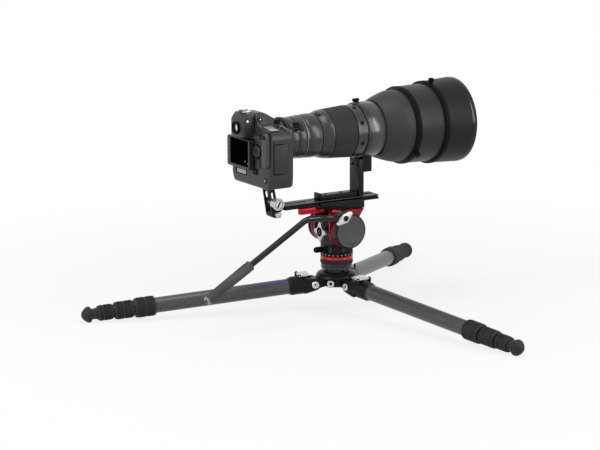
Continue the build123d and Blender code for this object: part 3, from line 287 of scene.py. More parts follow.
def bumped(material, height, depth, strength):
    """Raise the surface by a height output, to a depth in metres."""
    bump = node(material, "ShaderNodeBump", strength=strength, distance=depth)
    wire(material, height, bump.inputs["Height"])
    wire(material, bump.outputs["Normal"], main_shader(material).inputs["Normal"])


def grained(material, scale, depth, strength=0.6):
    """Fine sprayed or cast grain."""
    bumped(material, speckle(material, scale=scale, detail=3.0, roughness=0.55), depth, strength)


def pebbled(material, scale, depth, strength=0.8):
    """Leather-like cells, as on moulded rubber skin."""
    place = node(material, "ShaderNodeTexCoord")
    cells = node(material, "ShaderNodeTexVoronoi", scale=scale, randomness=1.0)
    cells.feature = "SMOOTH_F1"
    wire(material, place.outputs["Object"], cells.inputs["Vector"])
    bumped(material, cells.outputs["Distance"], depth, strength)


def finish(name, colour, rough, gloss=0.5, metallic=0.0, coat=0.0, **patterns):
    """Mix a finish: its constants on the shader, then its patterns, each with a scale and an amount."""
    material = bpy.data.materials.new(f"{name}_finish")
    material.use_nodes = True
    shader = main_shader(material)
    shader.inputs["Base Color"].default_value = (*colour, 1)
    shader.inputs["Roughness"].default_value = rough
    shader.inputs["Specular IOR Level"].default_value = gloss
    shader.inputs["Metallic"].default_value = metallic
    shader.inputs["Coat Weight"].default_value = coat
    shader.inputs["Coat Roughness"].default_value = 0.15
    makers = {"mottle": mottled, "scuffs": scuffed, "grain": grained, "pebbles": pebbled}
    for key, amounts in patterns.items():
        makers[key](material, *amounts)
    FINISH[name] = material
    return material


def mix_carbon(colours, pitch):
    """Clear-coated carbon cloth: light flecks of two crossing tows on the tube's own wrap map."""
    material = finish("carbon_weave", colours.carbon_dark, rough=0.34, gloss=0.35, coat=0.12)
    wrap = node(material, "ShaderNodeUVMap")
    wrap.uv_map = "wrap"
    tows = []
    for turn in (radians(32), radians(-32)):
        lay = node(material, "ShaderNodeMapping", rotation=(0, 0, turn), scale=(1 / pitch, 0.28 / pitch, 1))
        flecks = node(material, "ShaderNodeTexNoise", scale=0.55, detail=2.0, roughness=0.5)
        wire(material, wrap.outputs["UV"], lay.inputs["Vector"])
        wire(material, lay.outputs["Vector"], flecks.inputs["Vector"])
        tows.append(flecks.outputs["Fac"])
    over = maths(material, "MAXIMUM", *tows)
    amount = node(material, "ShaderNodeMapRange", from_min=0.50, from_max=0.74)
    wire(material, over, amount.inputs["Value"])
    two_toned(material, amount.outputs["Result"], colours.carbon_dark, colours.carbon_light)
    bumped(material, over, depth=0.0001, strength=0.4)


def mix_glass():
    """Lens glass with a faint violet coating."""
    shader = main_shader(finish("coated_glass", (0.55, 0.42, 0.62), rough=0.03, coat=0.6, scuffs=(20, 0.01)))
    shader.inputs["Transmission Weight"].default_value = 0.85
    shader.inputs["IOR"].default_value = 1.55


def mix_finishes(colours, details):
    """Mix every finish of the object."""
    black = colours.black_alloy
    paint = colours.lens_paint
    # Painted shade: a darker copy of the red alloy, for the tilt frame and the drum bands
    shaded_red = [part * 0.42 for part in colours.red_alloy]
    near_black = (0.004, 0.004, 0.004)
    matt = (1600, 0.0001, 0.4)
    moulded = (1500, 0.0001)
    cast = (900, 0.00004)
    finish("black_alloy", black, rough=0.30, gloss=0.13, scuffs=(60, 0.05), grain=(2600, 0.00005))
    finish("gloss_black", black, rough=0.14, gloss=0.28, scuffs=(90, 0.03))
    finish("grey_alloy", colours.grey_alloy, rough=0.45, gloss=0.25, scuffs=(50, 0.06), grain=cast)
    finish("red_alloy", colours.red_alloy, rough=0.24, gloss=0.4, metallic=0.45, scuffs=(80, 0.06))
    finish("shaded_red", shaded_red, rough=0.26, gloss=0.3, metallic=0.4, scuffs=(80, 0.06), grain=cast)
    finish("silver", colours.silver, rough=0.27, metallic=0.8, scuffs=(120, 0.07))
    finish("steel", colours.silver, rough=0.24, metallic=1.0, scuffs=(150, 0.06))
    finish("rubber", colours.rubber, rough=0.55, gloss=0.2, mottle=(40, 0.15), grain=moulded)
    finish("grip_rubber", (0.040, 0.040, 0.041), rough=0.42, gloss=0.4, mottle=(60, 0.12), grain=moulded)
    finish("black_rubber", near_black, rough=0.5, gloss=0.06, grain=moulded)
    finish("gloss_paint", paint, rough=0.20, gloss=0.62, scuffs=(35, 0.02))
    finish("cone_paint", paint, rough=0.48, gloss=0.26, scuffs=(30, 0.04), grain=matt)
    finish("front_paint", black, rough=0.45, gloss=0.16, scuffs=(30, 0.05), grain=matt)
    finish("lens_paint", paint, rough=0.25, gloss=0.40, scuffs=(35, 0.015), grain=(1900, 0.0001, 0.25))
    finish("hood_paint", colours.hood_paint, rough=0.40, gloss=0.22, scuffs=(30, 0.05), grain=matt)
    finish("camera_plastic", colours.camera_plastic, rough=0.34, gloss=0.3, scuffs=(45, 0.06),
           grain=(1400, 0.00012))
    finish("camera_skin", colours.camera_skin, rough=0.45, gloss=0.3, mottle=(30, 0.12),
           pebbles=(900, 0.0003))
    finish("screen", (0.0008, 0.0008, 0.0010), rough=0.10, gloss=0.0, scuffs=(40, 0.02))
    finish("info_panel", (0.36, 0.37, 0.36), rough=0.22, gloss=0.3, mottle=(30, 0.10))
    finish("bright_window", (0.75, 0.76, 0.78), rough=0.12, metallic=0.9, scuffs=(60, 0.03))
    finish("top_window", (0.34, 0.345, 0.34), rough=0.16, gloss=0.5, mottle=(40, 0.10))
    # Pale grey: real buttons, rings and the bar's end cap, and painted highlight lines on the rail, the head base
    # and the selector's rim
    finish("pale_button_and_highlight", (0.24, 0.24, 0.25), rough=0.35, scuffs=(90, 0.05))
    # Near-black: painted shade in grooves, sockets, gaps and recesses, and the plain black of the hood lining and
    # small marks
    finish("painted_shade_and_black", near_black, rough=0.75, gloss=0.1, grain=(1200, 0.0002))
    finish("print_white", colours.print_white, rough=0.5, mottle=(300, 0.08))
    finish("leg_band", colours.leg_band, rough=0.38, gloss=0.3, scuffs=(60, 0.06))
    finish("inner_parts", (0.05, 0.05, 0.052), rough=0.6, grain=(900, 0.0001))
    mix_carbon(colours, details.weave_pitch)
    mix_glass()


# Shapes, each a bmesh in millimetres
def turned(outline, steps=96):
    """Spin an outline about the x axis."""
    shape = bmesh.new()
    points = [shape.verts.new((along, 0, radius)) for along, radius in outline]
    edges = [shape.edges.new(pair) for pair in zip(points, points[1:])]
    if outline[0][1] > 0 or outline[-1][1] > 0:
        edges.append(shape.edges.new((points[-1], points[0])))
    bmesh.ops.spin(shape, geom=points + edges, cent=(0, 0, 0), axis=(1, 0, 0), angle=tau, steps=steps,
                   use_merge=True)
    bmesh.ops.remove_doubles(shape, verts=shape.verts, dist=0.0001)
    bmesh.ops.recalc_face_normals(shape, faces=shape.faces)
    return shape


def band(low, high, inner, outer, steps=128):
    """Plain ring round the x axis between two stations and two radii."""
    return turned([(low, inner), (low, outer), (high, outer), (high, inner)], steps)


def crown(start, end, bulge, steps=8):
    """Outline points that swell a little between two points."""
    shares = [count / steps for count in range(steps + 1)]
    return [(start[0] + (end[0] - start[0]) * share,
             start[1] + (end[1] - start[1]) * share + 4 * bulge * share * (1 - share)) for share in shares]


def wrapped(shape, radius):
    """Lay a wrap map round the x axis, in metres along and round the surface."""
    layer = shape.loops.layers.uv.verify()
    for face in shape.faces:
        angles = [atan2(loop.vert.co.y, loop.vert.co.z) for loop in face.loops]
        crosses = max(angles) - min(angles) > pi
        for loop, angle in zip(face.loops, angles):
            round_to = angle + tau if crosses and angle < 0 else angle
            loop[layer].uv = (loop.vert.co.x * MM, round_to * radius * MM)
    return shape


def segment(outline, start, sweep, steps=24):
    """Part of a turned ring: a closed outline swept through degrees from a start measured from +z."""
    shape = bmesh.new()
    points = [shape.verts.new((along, 0, radius)) for along, radius in outline]
    edges = [shape.edges.new(pair) for pair in zip(points, points[1:] + points[:1])]
    bmesh.ops.rotate(shape, cent=(0, 0, 0), matrix=Matrix.Rotation(-radians(start), 3, "X"), verts=points)
    bmesh.ops.spin(shape, geom=points + edges, cent=(0, 0, 0), axis=(1, 0, 0), angle=-radians(sweep),
                   steps=steps)
    bmesh.ops.holes_fill(shape, edges=shape.edges, sides=0)
    bmesh.ops.recalc_face_normals(shape, faces=shape.faces)
    return shape


def block(low, high):
    """Box between two corners."""
    shape = bmesh.new()
    bmesh.ops.create_cube(shape, size=1)
    bmesh.ops.scale(shape, vec=Vector(high) - Vector(low), verts=shape.verts)
    bmesh.ops.translate(shape, vec=(Vector(high) + Vector(low)) / 2, verts=shape.verts)
    return shape


def rod(place, radius, low, high, sides=48):
    """Upright cylinder at (x, y) between two heights."""
    shape = bmesh.new()
    bmesh.ops.create_cone(shape, cap_ends=True, segments=sides, radius1=radius, radius2=radius,
                          depth=high - low)
    bmesh.ops.translate(shape, vec=(*place, (low + high) / 2), verts=shape.verts)
    return shape


def bevelled(shape, edges, width, segments, clamp=True):
    """Round some edges."""
    bmesh.ops.bevel(shape, geom=edges, offset=width, offset_type="OFFSET", segments=segments, profile=0.5,
                    affect="EDGES", clamp_overlap=clamp, material=-1)
    return shape


def rounded_posts(shape, corner, steps):
    """Round the upright edges."""
    posts = [edge for edge in shape.edges if abs(edge.verts[0].co.z - edge.verts[1].co.z) > 0.001]
    return bevelled(shape, posts, corner, steps)


def pad(center, size, corner, low, high, steps=6):
    """Upright block with round corners at (x, y) between two heights."""
    half = Vector(size) / 2
    near = Vector(center) - half
    far = Vector(center) + half
    return rounded_posts(block((*near, low), (*far, high)), corner, steps)


def slab(outline, corner, low, high):
    """Plate of an (x, y) outline between two heights, its upright edges rounded."""
    shape = bmesh.new()
    face = shape.faces.new([shape.verts.new((*point, low)) for point in outline])
    risen = bmesh.ops.extrude_face_region(shape, geom=[face])["geom"]
    top = [item for item in risen if isinstance(item, bmesh.types.BMVert)]
    bmesh.ops.translate(shape, vec=(0, 0, high - low), verts=top)
    bmesh.ops.recalc_face_normals(shape, faces=shape.faces)
    return rounded_posts(shape, corner, 8)


def softened(shape, width, segments=2, test=None):
    """Round the sharp edges, or only those whose middle passes a test."""
    sharp = [edge for edge in shape.edges if len(edge.link_faces) == 2 and edge.calc_face_angle(0) > SHARP]
    if test:
        sharp = [edge for edge in sharp if test((edge.verts[0].co + edge.verts[1].co) / 2)]
    return bevelled(shape, sharp, width, segments, clamp=test is None)


def topped(shape, width, segments, top):
    """Round the edges that lie at the top height."""
    return softened(shape, width=width, segments=segments, test=lambda spot: spot.z > top - 0.1)


def pour(shape, whole):
    """Move a shape into another bmesh."""
    carrier = bpy.data.meshes.new("carrier")
    shape.to_mesh(carrier)
    shape.free()
    whole.from_mesh(carrier)
    bpy.data.meshes.remove(carrier)


def hull(*shapes):
    """Tight skin round several shapes."""
    whole = bmesh.new()
    for shape in shapes:
        pour(shape, whole)
    bmesh.ops.delete(whole, geom=list(whole.edges), context="EDGES_FACES")
    skin = bmesh.ops.convex_hull(whole, input=list(whole.verts))
    loose = [item for item in skin["geom_interior"] if isinstance(item, bmesh.types.BMVert)]
    bmesh.ops.delete(whole, geom=loose, context="VERTS")
    bmesh.ops.dissolve_limit(whole, angle_limit=radians(0.4), verts=whole.verts, edges=whole.edges)
    bmesh.ops.recalc_face_normals(whole, faces=whole.faces)
    return whole


def cut_off(shape, spot, normal):
    """Cut a shape at a plane, drop the side that the normal points to and close the cut."""
    bmesh.ops.bisect_plane(shape, geom=shape.verts[:] + shape.edges[:] + shape.faces[:], dist=0.0001,
                           plane_co=spot, plane_no=normal, clear_outer=True)
    bmesh.ops.holes_fill(shape, edges=[edge for edge in shape.edges if edge.is_boundary], sides=0)
    return shape


def sunk(shape, low, high, depth):
    """Sink a rectangle, given by two (y, z) corners, into the flat face on the +x side."""
    side = max(vert.co.x for vert in shape.verts)
    across = Vector((0, 1, 0))
    upward = Vector((0, 0, 1))
    cuts = [(across, low[0]), (across, high[0]), (upward, low[1]), (upward, high[1])]
    for normal, reach in cuts:
        faces = [face for face in shape.faces if all(abs(vert.co.x - side) < 0.001 for vert in face.verts)]
        edges = dict.fromkeys(edge for face in faces for edge in face.edges)
        verts = dict.fromkeys(vert for face in faces for vert in face.verts)
        bmesh.ops.bisect_plane(shape, geom=[*faces, *edges, *verts], dist=0.0001, plane_co=normal * reach,
                               plane_no=normal)
    for face in list(shape.faces):
        spot = face.calc_center_median()
        if abs(spot.x - side) < 0.001 and low[0] < spot.y < high[0] and low[1] < spot.z < high[1]:
            floor = bmesh.ops.extrude_discrete_faces(shape, faces=[face])["faces"]
            bmesh.ops.translate(shape, vec=(-depth, 0, 0), verts=floor[0].verts)
    return shape


def ribbed(shape, low, high, height, share=0.22):
    """Raise every second strip of a turned shape's skin between two stations."""
    strips = {}
    for face in shape.faces:
        spot = face.calc_center_median()
        outward = Vector((0, spot.y, spot.z)).normalized()
        if low < spot.x < high and face.normal.dot(outward) > 0.7:
            strips.setdefault(round(atan2(spot.y, spot.z), 4), []).append(face)
    chosen = [face for key in sorted(strips)[::2] for face in strips[key]]
    width = min(edge.calc_length() for face in chosen for edge in face.edges)
    bmesh.ops.inset_individual(shape, faces=chosen, thickness=width * share, depth=height,
                               use_even_offset=True)
    return shape


def loose_solids(shape):
    """Vertices of a bmesh, one list for each solid that hangs together."""
    left = set(shape.verts)
    while left:
        solid = [left.pop()]
        for vert in solid:
            near = {edge.other_vert(vert) for edge in vert.link_edges} & left
            left -= near
            solid.extend(near)
        yield solid


def frame_copy(name, place=None, pick=None):
    """Copy of a CAD node in a place's own axes, its flat triangles joined; pick chooses among its solids."""
    shape = bmesh.new()
    shape.from_mesh(frame["nodes"][name].data)
    bmesh.ops.scale(shape, vec=Vector((1, 1, 1)) / MM, verts=shape.verts)
    if place is not None:
        bmesh.ops.transform(shape, matrix=place.inverted(), verts=shape.verts)
    bmesh.ops.remove_doubles(shape, verts=shape.verts, dist=0.002)
    if pick:
        drop = [vert for solid in loose_solids(shape) if not pick(solid) for vert in solid]
        bmesh.ops.delete(shape, geom=drop, context="VERTS")
    bmesh.ops.dissolve_limit(shape, angle_limit=radians(0.5), verts=shape.verts, edges=shape.edges)
    return shape


def eased(name, width, segments=2):
    """Copy of a CAD node with its sharp edges rounded."""
    return softened(frame_copy(name), width, segments)


def slim(radius):
    """Test for solids that lie within a radius of the x axis."""
    return lambda solid: all(vert.co.yz.length < radius for vert in solid)


def stout(radius):
    """Test for solids that reach past a radius from the x axis."""
    return lambda solid: not slim(radius)(solid)


def linked(name, data):
    """New object in the scene."""
    made = bpy.data.objects.new(name, data)
    bpy.context.scene.collection.objects.link(made)
    return made


class Piece:
    """One object of the model, put together from shapes in millimetres."""

    def __init__(self, name):
        self.name = name
        self.whole = bmesh.new()
        self.finishes = []

    def index(self, name):
        """Material slot of a finish, new at its first use."""
        if name not in self.finishes:
            self.finishes.append(name)
        return self.finishes.index(name)

    def add(self, shape, name, place=None):
        """Add a shape at a place in one finish."""
        if place is not None:
            bmesh.ops.transform(shape, matrix=place, verts=shape.verts)
        for face in shape.faces:
            face.material_index = self.index(name)
        pour(shape, self.whole)

    def paint(self, name, test):
        """Give the faces whose middle and normal pass a test another finish."""
        self.whole.normal_update()
        for face in self.whole.faces:
            if test(face.calc_center_median(), face.normal):
                face.material_index = self.index(name)

    def make(self, body, slot, stands_for):
        """Turn the shapes into an object that rides on a body and stands for a CAD node."""
        bmesh.ops.scale(self.whole, vec=(MM, MM, MM), verts=self.whole.verts)
        mesh = bpy.data.meshes.new(self.name)
        self.whole.to_mesh(mesh)
        self.whole.free()
        for name in self.finishes:
            mesh.materials.append(FINISH[name])
        if mesh.uv_layers:
            mesh.uv_layers[0].name = "wrap"
        mesh.shade_smooth()
        mesh.set_sharp_from_angle(angle=SHARP)
        made = linked(self.name, mesh)
        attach(made, body)
        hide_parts(stands_for)


class RIG_OT_finishes(bpy.types.Operator):
    """Mix every finish from the colours in the panel"""

    bl_idname = "rig.finishes"
    bl_label = "Mix Finishes"

    def execute(self, context):
        mix_finishes(context.scene.rig_colours, context.scene.rig_details)
        return {"FINISHED"}


# Pieces of the tripod
BUSH = [(-8, 3.4), (-8, 5), (4.6, 5), (4.6, 7.6), (6.0, 8.0), (6.6, 7.4), (6.6, 4.2), (5.8, 3.4)]
PIVOT_BOLT = [
    (0, 0), (0, 5), (19.6, 5), (19.6, 7.4), (20.2, 8), (22.9, 8), (23.6, 7.3), (23.6, 4.4), (21.4, 4.2),
    (21.4, 0),
]
HEAD_BOLT = [(64, 0), (64, 8.2), (64.8, 9), (72, 9), (72, 4.75), (104, 4.75), (104, 0)]


class RIG_OT_hub(bpy.types.Operator):
    """Spider hub with its accessory bush, pivot bolts and head bolt"""

    bl_idname = "rig.hub"
    bl_label = "Hub and Bolts"

    def execute(self, context):
        hub = Piece("hub_casting")
        hub.add(eased("spider_hub", width=0.7), "black_alloy")
        socket = next(entry for entry in frame["record"]["mounts"] if entry["name"] == "hub_accessory_socket")
        hub.add(turned(BUSH, steps=48), "silver", axis_place(Vector(socket["pos_m"]) / MM, socket["axis"]))
        hub.make("tripod", "black_alloy", "spider_hub")
        bolts = Piece("hub_bolts")
        for number in LEGS:
            spread = f"leg_{number}_spread"
            axis = Vector(joint(spread)["axis"])
            for along in (axis, -axis):
                place = axis_place(joint_spot(spread), along)
                bolts.add(turned(PIVOT_BOLT, steps=48), "steel", place)
                # Dark hexagon at the floor of each bolt head's socket: painted shade of a hex hole
                recess = rod((0, 0), radius=2.3, low=21.2, high=21.6, sides=6)
                bolts.add(recess, "painted_shade_and_black", place @ UPRIGHT.inverted())
        bolts.add(turned(HEAD_BOLT, steps=6), "steel", UPRIGHT)
        bolts.make("tripod", "steel", "hub_fasteners")
        return {"FINISHED"}


# Outer radius of each leg tube, and the radii past which only a leg's fork or foot reaches
TUBES = {1: 17, 2: 15, 3: 13, 4: 11}
FORK_REACH = 17.5
FOOT_REACH = 11.3
FORK_COLLAR = [(54.1, 16.9), (54.1, 18.2), (54.8, 18.8), (57, 18.8), (57.6, 18.2), (57.6, 16.9)]
TINTED_STRIP = [(58, 16.8), (58, 17.06), (122, 17.06), (122, 16.8)]
FOOT = [
    (482.6, 0), (482.6, 12.2), (484, 12.6), (488, 11.8), (492, 11.7), (494.2, 12.8), (496, 15.6),
    (497.8, 17.2), (499.6, 17.7), (502.4, 17.5), (505, 16.6), (509, 13.8), (513, 9.8), (515.6, 6),
    (516.6, 3.2), (516.8, 0),
]
# Start, end and radius of each twist lock down a leg
LOCKS = {1: (354, 400, 22.0), 2: (402, 445, 19.5), 3: (447, 482, 17.25)}


class RIG_OT_legs(bpy.types.Operator):
    """Carbon leg sections, yokes, feet and latches"""

    bl_idname = "rig.legs"
    bl_label = "Legs"

    def execute(self, context):
        for number in LEGS:
            leg = f"leg_{number}"
            place = leg_place(number)
            upper = f"{leg}_upper"
            top = Piece(f"{leg}_top_section")
            top.add(wrapped(frame_copy(upper, place, slim(FORK_REACH)), TUBES[1]), "carbon_weave", place)
            top.add(softened(frame_copy(upper, place, stout(FORK_REACH)), width=0.8), "black_alloy", place)
            top.add(turned(FORK_COLLAR, steps=64), "gloss_black", place)
            top.add(segment(TINTED_STRIP, start=8, sweep=34), "leg_band", place)
            top.make(leg, "carbon", upper)
            for count in (2, 3):
                tube = f"{leg}_tube_{count}"
                section = Piece(f"{leg}_section_{count}_tube")
                section.add(wrapped(frame_copy(tube, place), TUBES[count]), "carbon_weave", place)
                section.make(f"{leg}_section_{count}", "carbon", tube)
            lower = f"{leg}_tube_4_and_foot"
            foot = Piece(f"{leg}_foot_section")
            foot.add(wrapped(frame_copy(lower, place, slim(FOOT_REACH)), TUBES[4]), "carbon_weave", place)
            foot.add(turned(FOOT, steps=72), "rubber", place)
            foot.add(band(low=500.4, high=501.4, inner=17, outer=17.75, steps=72), "black_rubber", place)
            foot.make(f"{leg}_section_4", "rubber", lower)
            latch = Piece(f"{leg}_angle_latch")
            latch.add(eased(f"{leg}_latch", width=0.7, segments=3), "silver")
            latch.make(f"{leg}_latch", "silver", f"{leg}_latch")
        return {"FINISHED"}


class RIG_OT_locks(bpy.types.Operator):
    """Ribbed twist locks between the leg sections"""

    bl_idname = "rig.locks"
    bl_label = "Twist Locks"

    def execute(self, context):
        details = context.scene.rig_details
        raised = details.rib_height / MM
        groove = 0.5
        for number in LEGS:
            place = leg_place(number)
            for count, (low, high, radius) in LOCKS.items():
                bore = TUBES[count] + 0.1
                throat = TUBES[count + 1] + 0.35
                skin = radius - raised
                sleeve = turned([
                    (low, bore), (low, skin - 3), (low + 0.9, skin - 1.1), (low + 2.6, skin - 0.1),
                    (low + 4.5, skin), (low + 5.2, skin - groove), (low + 20, skin - groove),
                    (low + 20.5, skin), (low + 23.5, skin), (low + 24, skin - groove),
                    (high - 6.2, skin - groove), (high - 5.5, skin), (high - 3, skin - 0.1),
                    (high - 1.2, skin - 1.2), (high - 0.2, skin - 3.2), (high - 0.2, throat),
                    (low + 19.2, throat), (low + 19.2, bore),
                ], steps=2 * details.lock_ribs)
                ribbed(sleeve, low=low + 5.3, high=low + 19.9, height=raised + groove)
                ribbed(sleeve, low=low + 24.1, high=high - 6.3, height=raised + groove)
                name = f"leg_{number}_lock_{count}"
                lock = Piece(f"leg_{number}_twist_lock_{count}")
                lock.add(sleeve, "rubber", place)
                lip = band(high - 0.3, high + 1.3, inner=throat + 0.05, outer=skin - 3.6, steps=64)
                lock.add(lip, "gloss_black", place)
                lock.make(name, "rubber", name)
        return {"FINISHED"}


# Pieces of the head, with heights along the outlines of those that turn about the pan axis
HEAD_BASE = [
    (90, 0), (90, 29.2), (90.8, 30), (95.6, 30), (97, 31.2), (97.2, 33.8), (97.9, 34.5), (101.6, 34.5),
    (102, 34.1), (102.8, 34.1), (103.2, 34.5), (106.8, 34.5), (107.5, 33.8), (107.5, 29), (127.4, 29),
    (127.4, 14), (146, 14), (146, 0),
]
# Heights of pale hairline rings at the base's edges: bright-machined edges, with a painted highlight line on each
BASE_EDGES = (98, 101.4, 106.7)
BASE_RADIUS = 34.5
RING_BORE = 29.2
DRAG_KNURL = [
    (107.8, RING_BORE), (107.8, 34.6), (108.5, 35.3), (109.6, 35.3), (115.2, 35.3), (116.3, 35.3),
    (117, 34.7), (117, RING_BORE),
]
RED_BAND = [
    (119, RING_BORE), (119, 35.5), (119.6, 36), (121, 36), (122.6, 35.6), (124.2, 36), (125.2, 36),
    (125.8, 35.5), (125.8, RING_BORE),
]


class RIG_OT_head_base(bpy.types.Operator):
    """Fixed base of the head and its knurled drag ring with a red band"""

    bl_idname = "rig.head_base"
    bl_label = "Head Base and Drag Ring"

    def execute(self, context):
        details = context.scene.rig_details
        base = Piece("head_base_turning")
        base.add(turned(HEAD_BASE), "gloss_black", UPRIGHT)
        # Pale rings at the edges: painted highlight lines, partly bright-machined edges
        for height in BASE_EDGES:
            edge = band(height - 0.2, height + 0.2, BASE_RADIUS - 0.5, BASE_RADIUS + 0.05, steps=96)
            base.add(edge, "pale_button_and_highlight", UPRIGHT)
        base.make("tripod", "black_alloy", "head_base")
        drag = Piece("drag_ring_turning")
        knurl = turned(DRAG_KNURL, steps=2 * details.drag_ribs)
        drag.add(ribbed(knurl, low=109.7, high=115.1, height=details.rib_height / MM), "rubber", UPRIGHT)
        drag.add(turned(RED_BAND), "red_alloy", UPRIGHT)
        for low, high in ((117, 119.1), (125.7, 127.2)):
            drag.add(turned([
                (low, RING_BORE), (low, 34.8), (low + 0.5, 35.4), (high - 0.5, 35.4), (high, 34.8),
                (high, RING_BORE),
            ]), "gloss_black", UPRIGHT)
        drag.make("pan_drag_ring", "red_alloy", "pan_drag_ring")
        return {"FINISHED"}


class RIG_OT_pan_column(bpy.types.Operator):
    """Turning column with its tick scale"""

    bl_idname = "rig.pan_column"
    bl_label = "Pan Column"

    def execute(self, context):
        ticks = context.scene.rig_details.pan_ticks
        column = Piece("pan_column_casting")
        column.add(eased("pan_column", width=0.7), "black_alloy")
        for count in range(ticks):
            turn = Matrix.Rotation(tau * count / ticks, 4, "Z")
            top = 132.2 if count % 6 == 0 else 131.2
            column.add(block((35.7, -0.55, 128.6), (36.06, 0.55, top)), "print_white", turn)
        column.make("pan", "black_alloy", "pan_column")
        return {"FINISHED"}


STAR_CENTRE = [(45, 0), (45, 6.2), (45.8, 5.4), (45.9, 4.2), (45.4, 3.6), (45.4, 0)]
PAN_LOCK = [
    (30.5, 0), (30.5, 2.95), (36.3, 2.95), (36.3, 5.2), (37.2, 6), (38.5, 6), (54.5, 6), (55.8, 6), (57, 5),
    (57, 3), (56.4, 2.6), (56.4, 0),
]


class RIG_OT_lock_knobs(bpy.types.Operator):
    """Star knob of the tilt lock and the small knob of the pan lock"""

    bl_idname = "rig.lock_knobs"
    bl_label = "Lock Knobs"

    def execute(self, context):
        low, high = box_mm("tilt_lock_knob")
        reach = (high.z - low.z) / 2
        height = (low.z + high.z) / 2
        star = Piece("tilt_lock_star")
        stem = turned([(-high.x, 0), (-high.x, 7.8), (37.5, 7.8), (37.5, 0)], steps=48)
        star.add(stem, "silver", axis_place((0, 0, height), REARWARD))
        for quarter in range(4):
            root = rod((0, 0), radius=10.5, low=37, high=45.2, sides=40)
            tip = rod((reach - 4.6, 0), radius=4.6, low=37, high=44.4, sides=32)
            arm = hull(root, tip)
            turn = Matrix.Translation((0, height, 0)) @ Matrix.Rotation(pi / 2 * quarter, 4, "Z")
            star.add(softened(arm, width=2.0, segments=4), "silver", ON_REAR @ turn)
        centre = axis_place((0, 0, joint_spot("tilt_lock_knob_turn").z), REARWARD)
        star.add(turned(STAR_CENTRE, steps=48), "gloss_black", centre)
        star.make("tilt_lock_knob", "silver", "tilt_lock_knob")
        knob = Piece("pan_lock_grip")
        grip = turned(PAN_LOCK, steps=2 * context.scene.rig_details.knob_ribs)
        place = axis_place((0, 0, joint_spot("pan_lock_knob_turn").z), REARWARD)
        knob.add(ribbed(grip, low=38.6, high=54.4, height=0.5), "black_rubber", place)
        knob.make("pan_lock_knob", "black_plastic", "pan_lock_knob")
        return {"FINISHED"}


DRUM_BAND = [
    (33.1, 0), (33.1, 36.8), (33.7, 37.5), (37, 37.5), (37.6, 36.2), (40.4, 36.2), (41, 37.5), (44.6, 37.5),
    (45.2, 36.8), (45.2, 0),
]
DRUM_WALL = [
    (45, 0), (45, 36.4), (45.6, 37), (50.8, 37), (51.4, 36.4), (52, 36.4), (52.4, 38), (57, 38), (58, 37),
    (58, 36.2), (57.5, 35.6), (57.5, 0),
]
DRUM_COVER = [(57.3, 0), (57.3, 35.2), (57.8, 35.2), (58, 35), (58, 33), (57.86, 32.6), (57.86, 0)]
DRUM_LINE = [(57.82, 27.0), (57.82, 28.2), (57.95, 28.2), (57.95, 27.0)]
DRUM_DOTS = ((23, 206), (4, 155))


class RIG_OT_tilt_head(bpy.types.Operator):
    """Red tilt frame and the two drums with their grey faces"""

    bl_idname = "rig.tilt_head"
    bl_label = "Tilt Frame and Drums"

    def execute(self, context):
        red = Piece("tilt_frame_casting")
        # The frame takes the darker copy of the red alloy, which is painted shade
        red.add(eased("tilt_frame", width=0.8), "shaded_red")
        red.make("tilt", "red_alloy", "tilt_frame")
        drums = Piece("drag_drums")
        for side in (-1, 1):
            place = axis_place((0, 0, TILT_HEIGHT), (0, side, 0))
            # The drum bands take the darker copy of the red alloy, which is painted shade
            drums.add(turned(DRUM_BAND, steps=128), "shaded_red", place)
            # Dark ring in the groove of each red band: painted shade
            drums.add(band(low=37.5, high=40.5, inner=30, outer=36.6), "painted_shade_and_black", place)
            drums.add(turned(DRUM_WALL, steps=128), "black_alloy", place)
            drums.add(turned(DRUM_COVER, steps=128), "grey_alloy", place)
        for spot in DRUM_DOTS:
            drums.add(rod(spot, radius=1.5, low=57.8, high=58.05, sides=20), "painted_shade_and_black", ON_SIDE)
        near_side = axis_place((0, 0, TILT_HEIGHT), TO_GRIP)
        drums.add(segment(DRUM_LINE, start=150, sweep=60), "painted_shade_and_black", near_side)
        drums.make("tilt", "grey_alloy", "tilt_drums")
        return {"FINISHED"}


# Grip end and first bend of the pan bar, and outlines along it from the grip end
BAR_END = Vector((-371, -66, 80.2))
BAR_BEND = Vector((-115.7, -66, 231.2))
GRIP_LENGTH = 126
BAR_GRIP = [
    (4.2, 0), (4.2, 9.2), (5, 9.7), (7, 9.8), (8, 9.8), (118, 11), (120, 11.1), (122, 11.5), (127, 11.5),
    (128, 10.5), (128, 6.8), (126, 0),
]
BAR_CAP = [(0, 0), (0, 7.6), (0.8, 9), (2, 9.9), (3.6, 9.9), (4.1, 9.3), (4.1, 0)]
# Dark disc in the grip's end cap: painted shade of its hole
BAR_HOLE = [(-0.06, 0), (-0.06, 4.6), (0.5, 4.6), (0.5, 0)]
# Along, up and radius of the wing's three bosses
WING_BOSSES = ((0, 0, 10.5), (-17, -10, 4.2), (13, 9, 5.2))


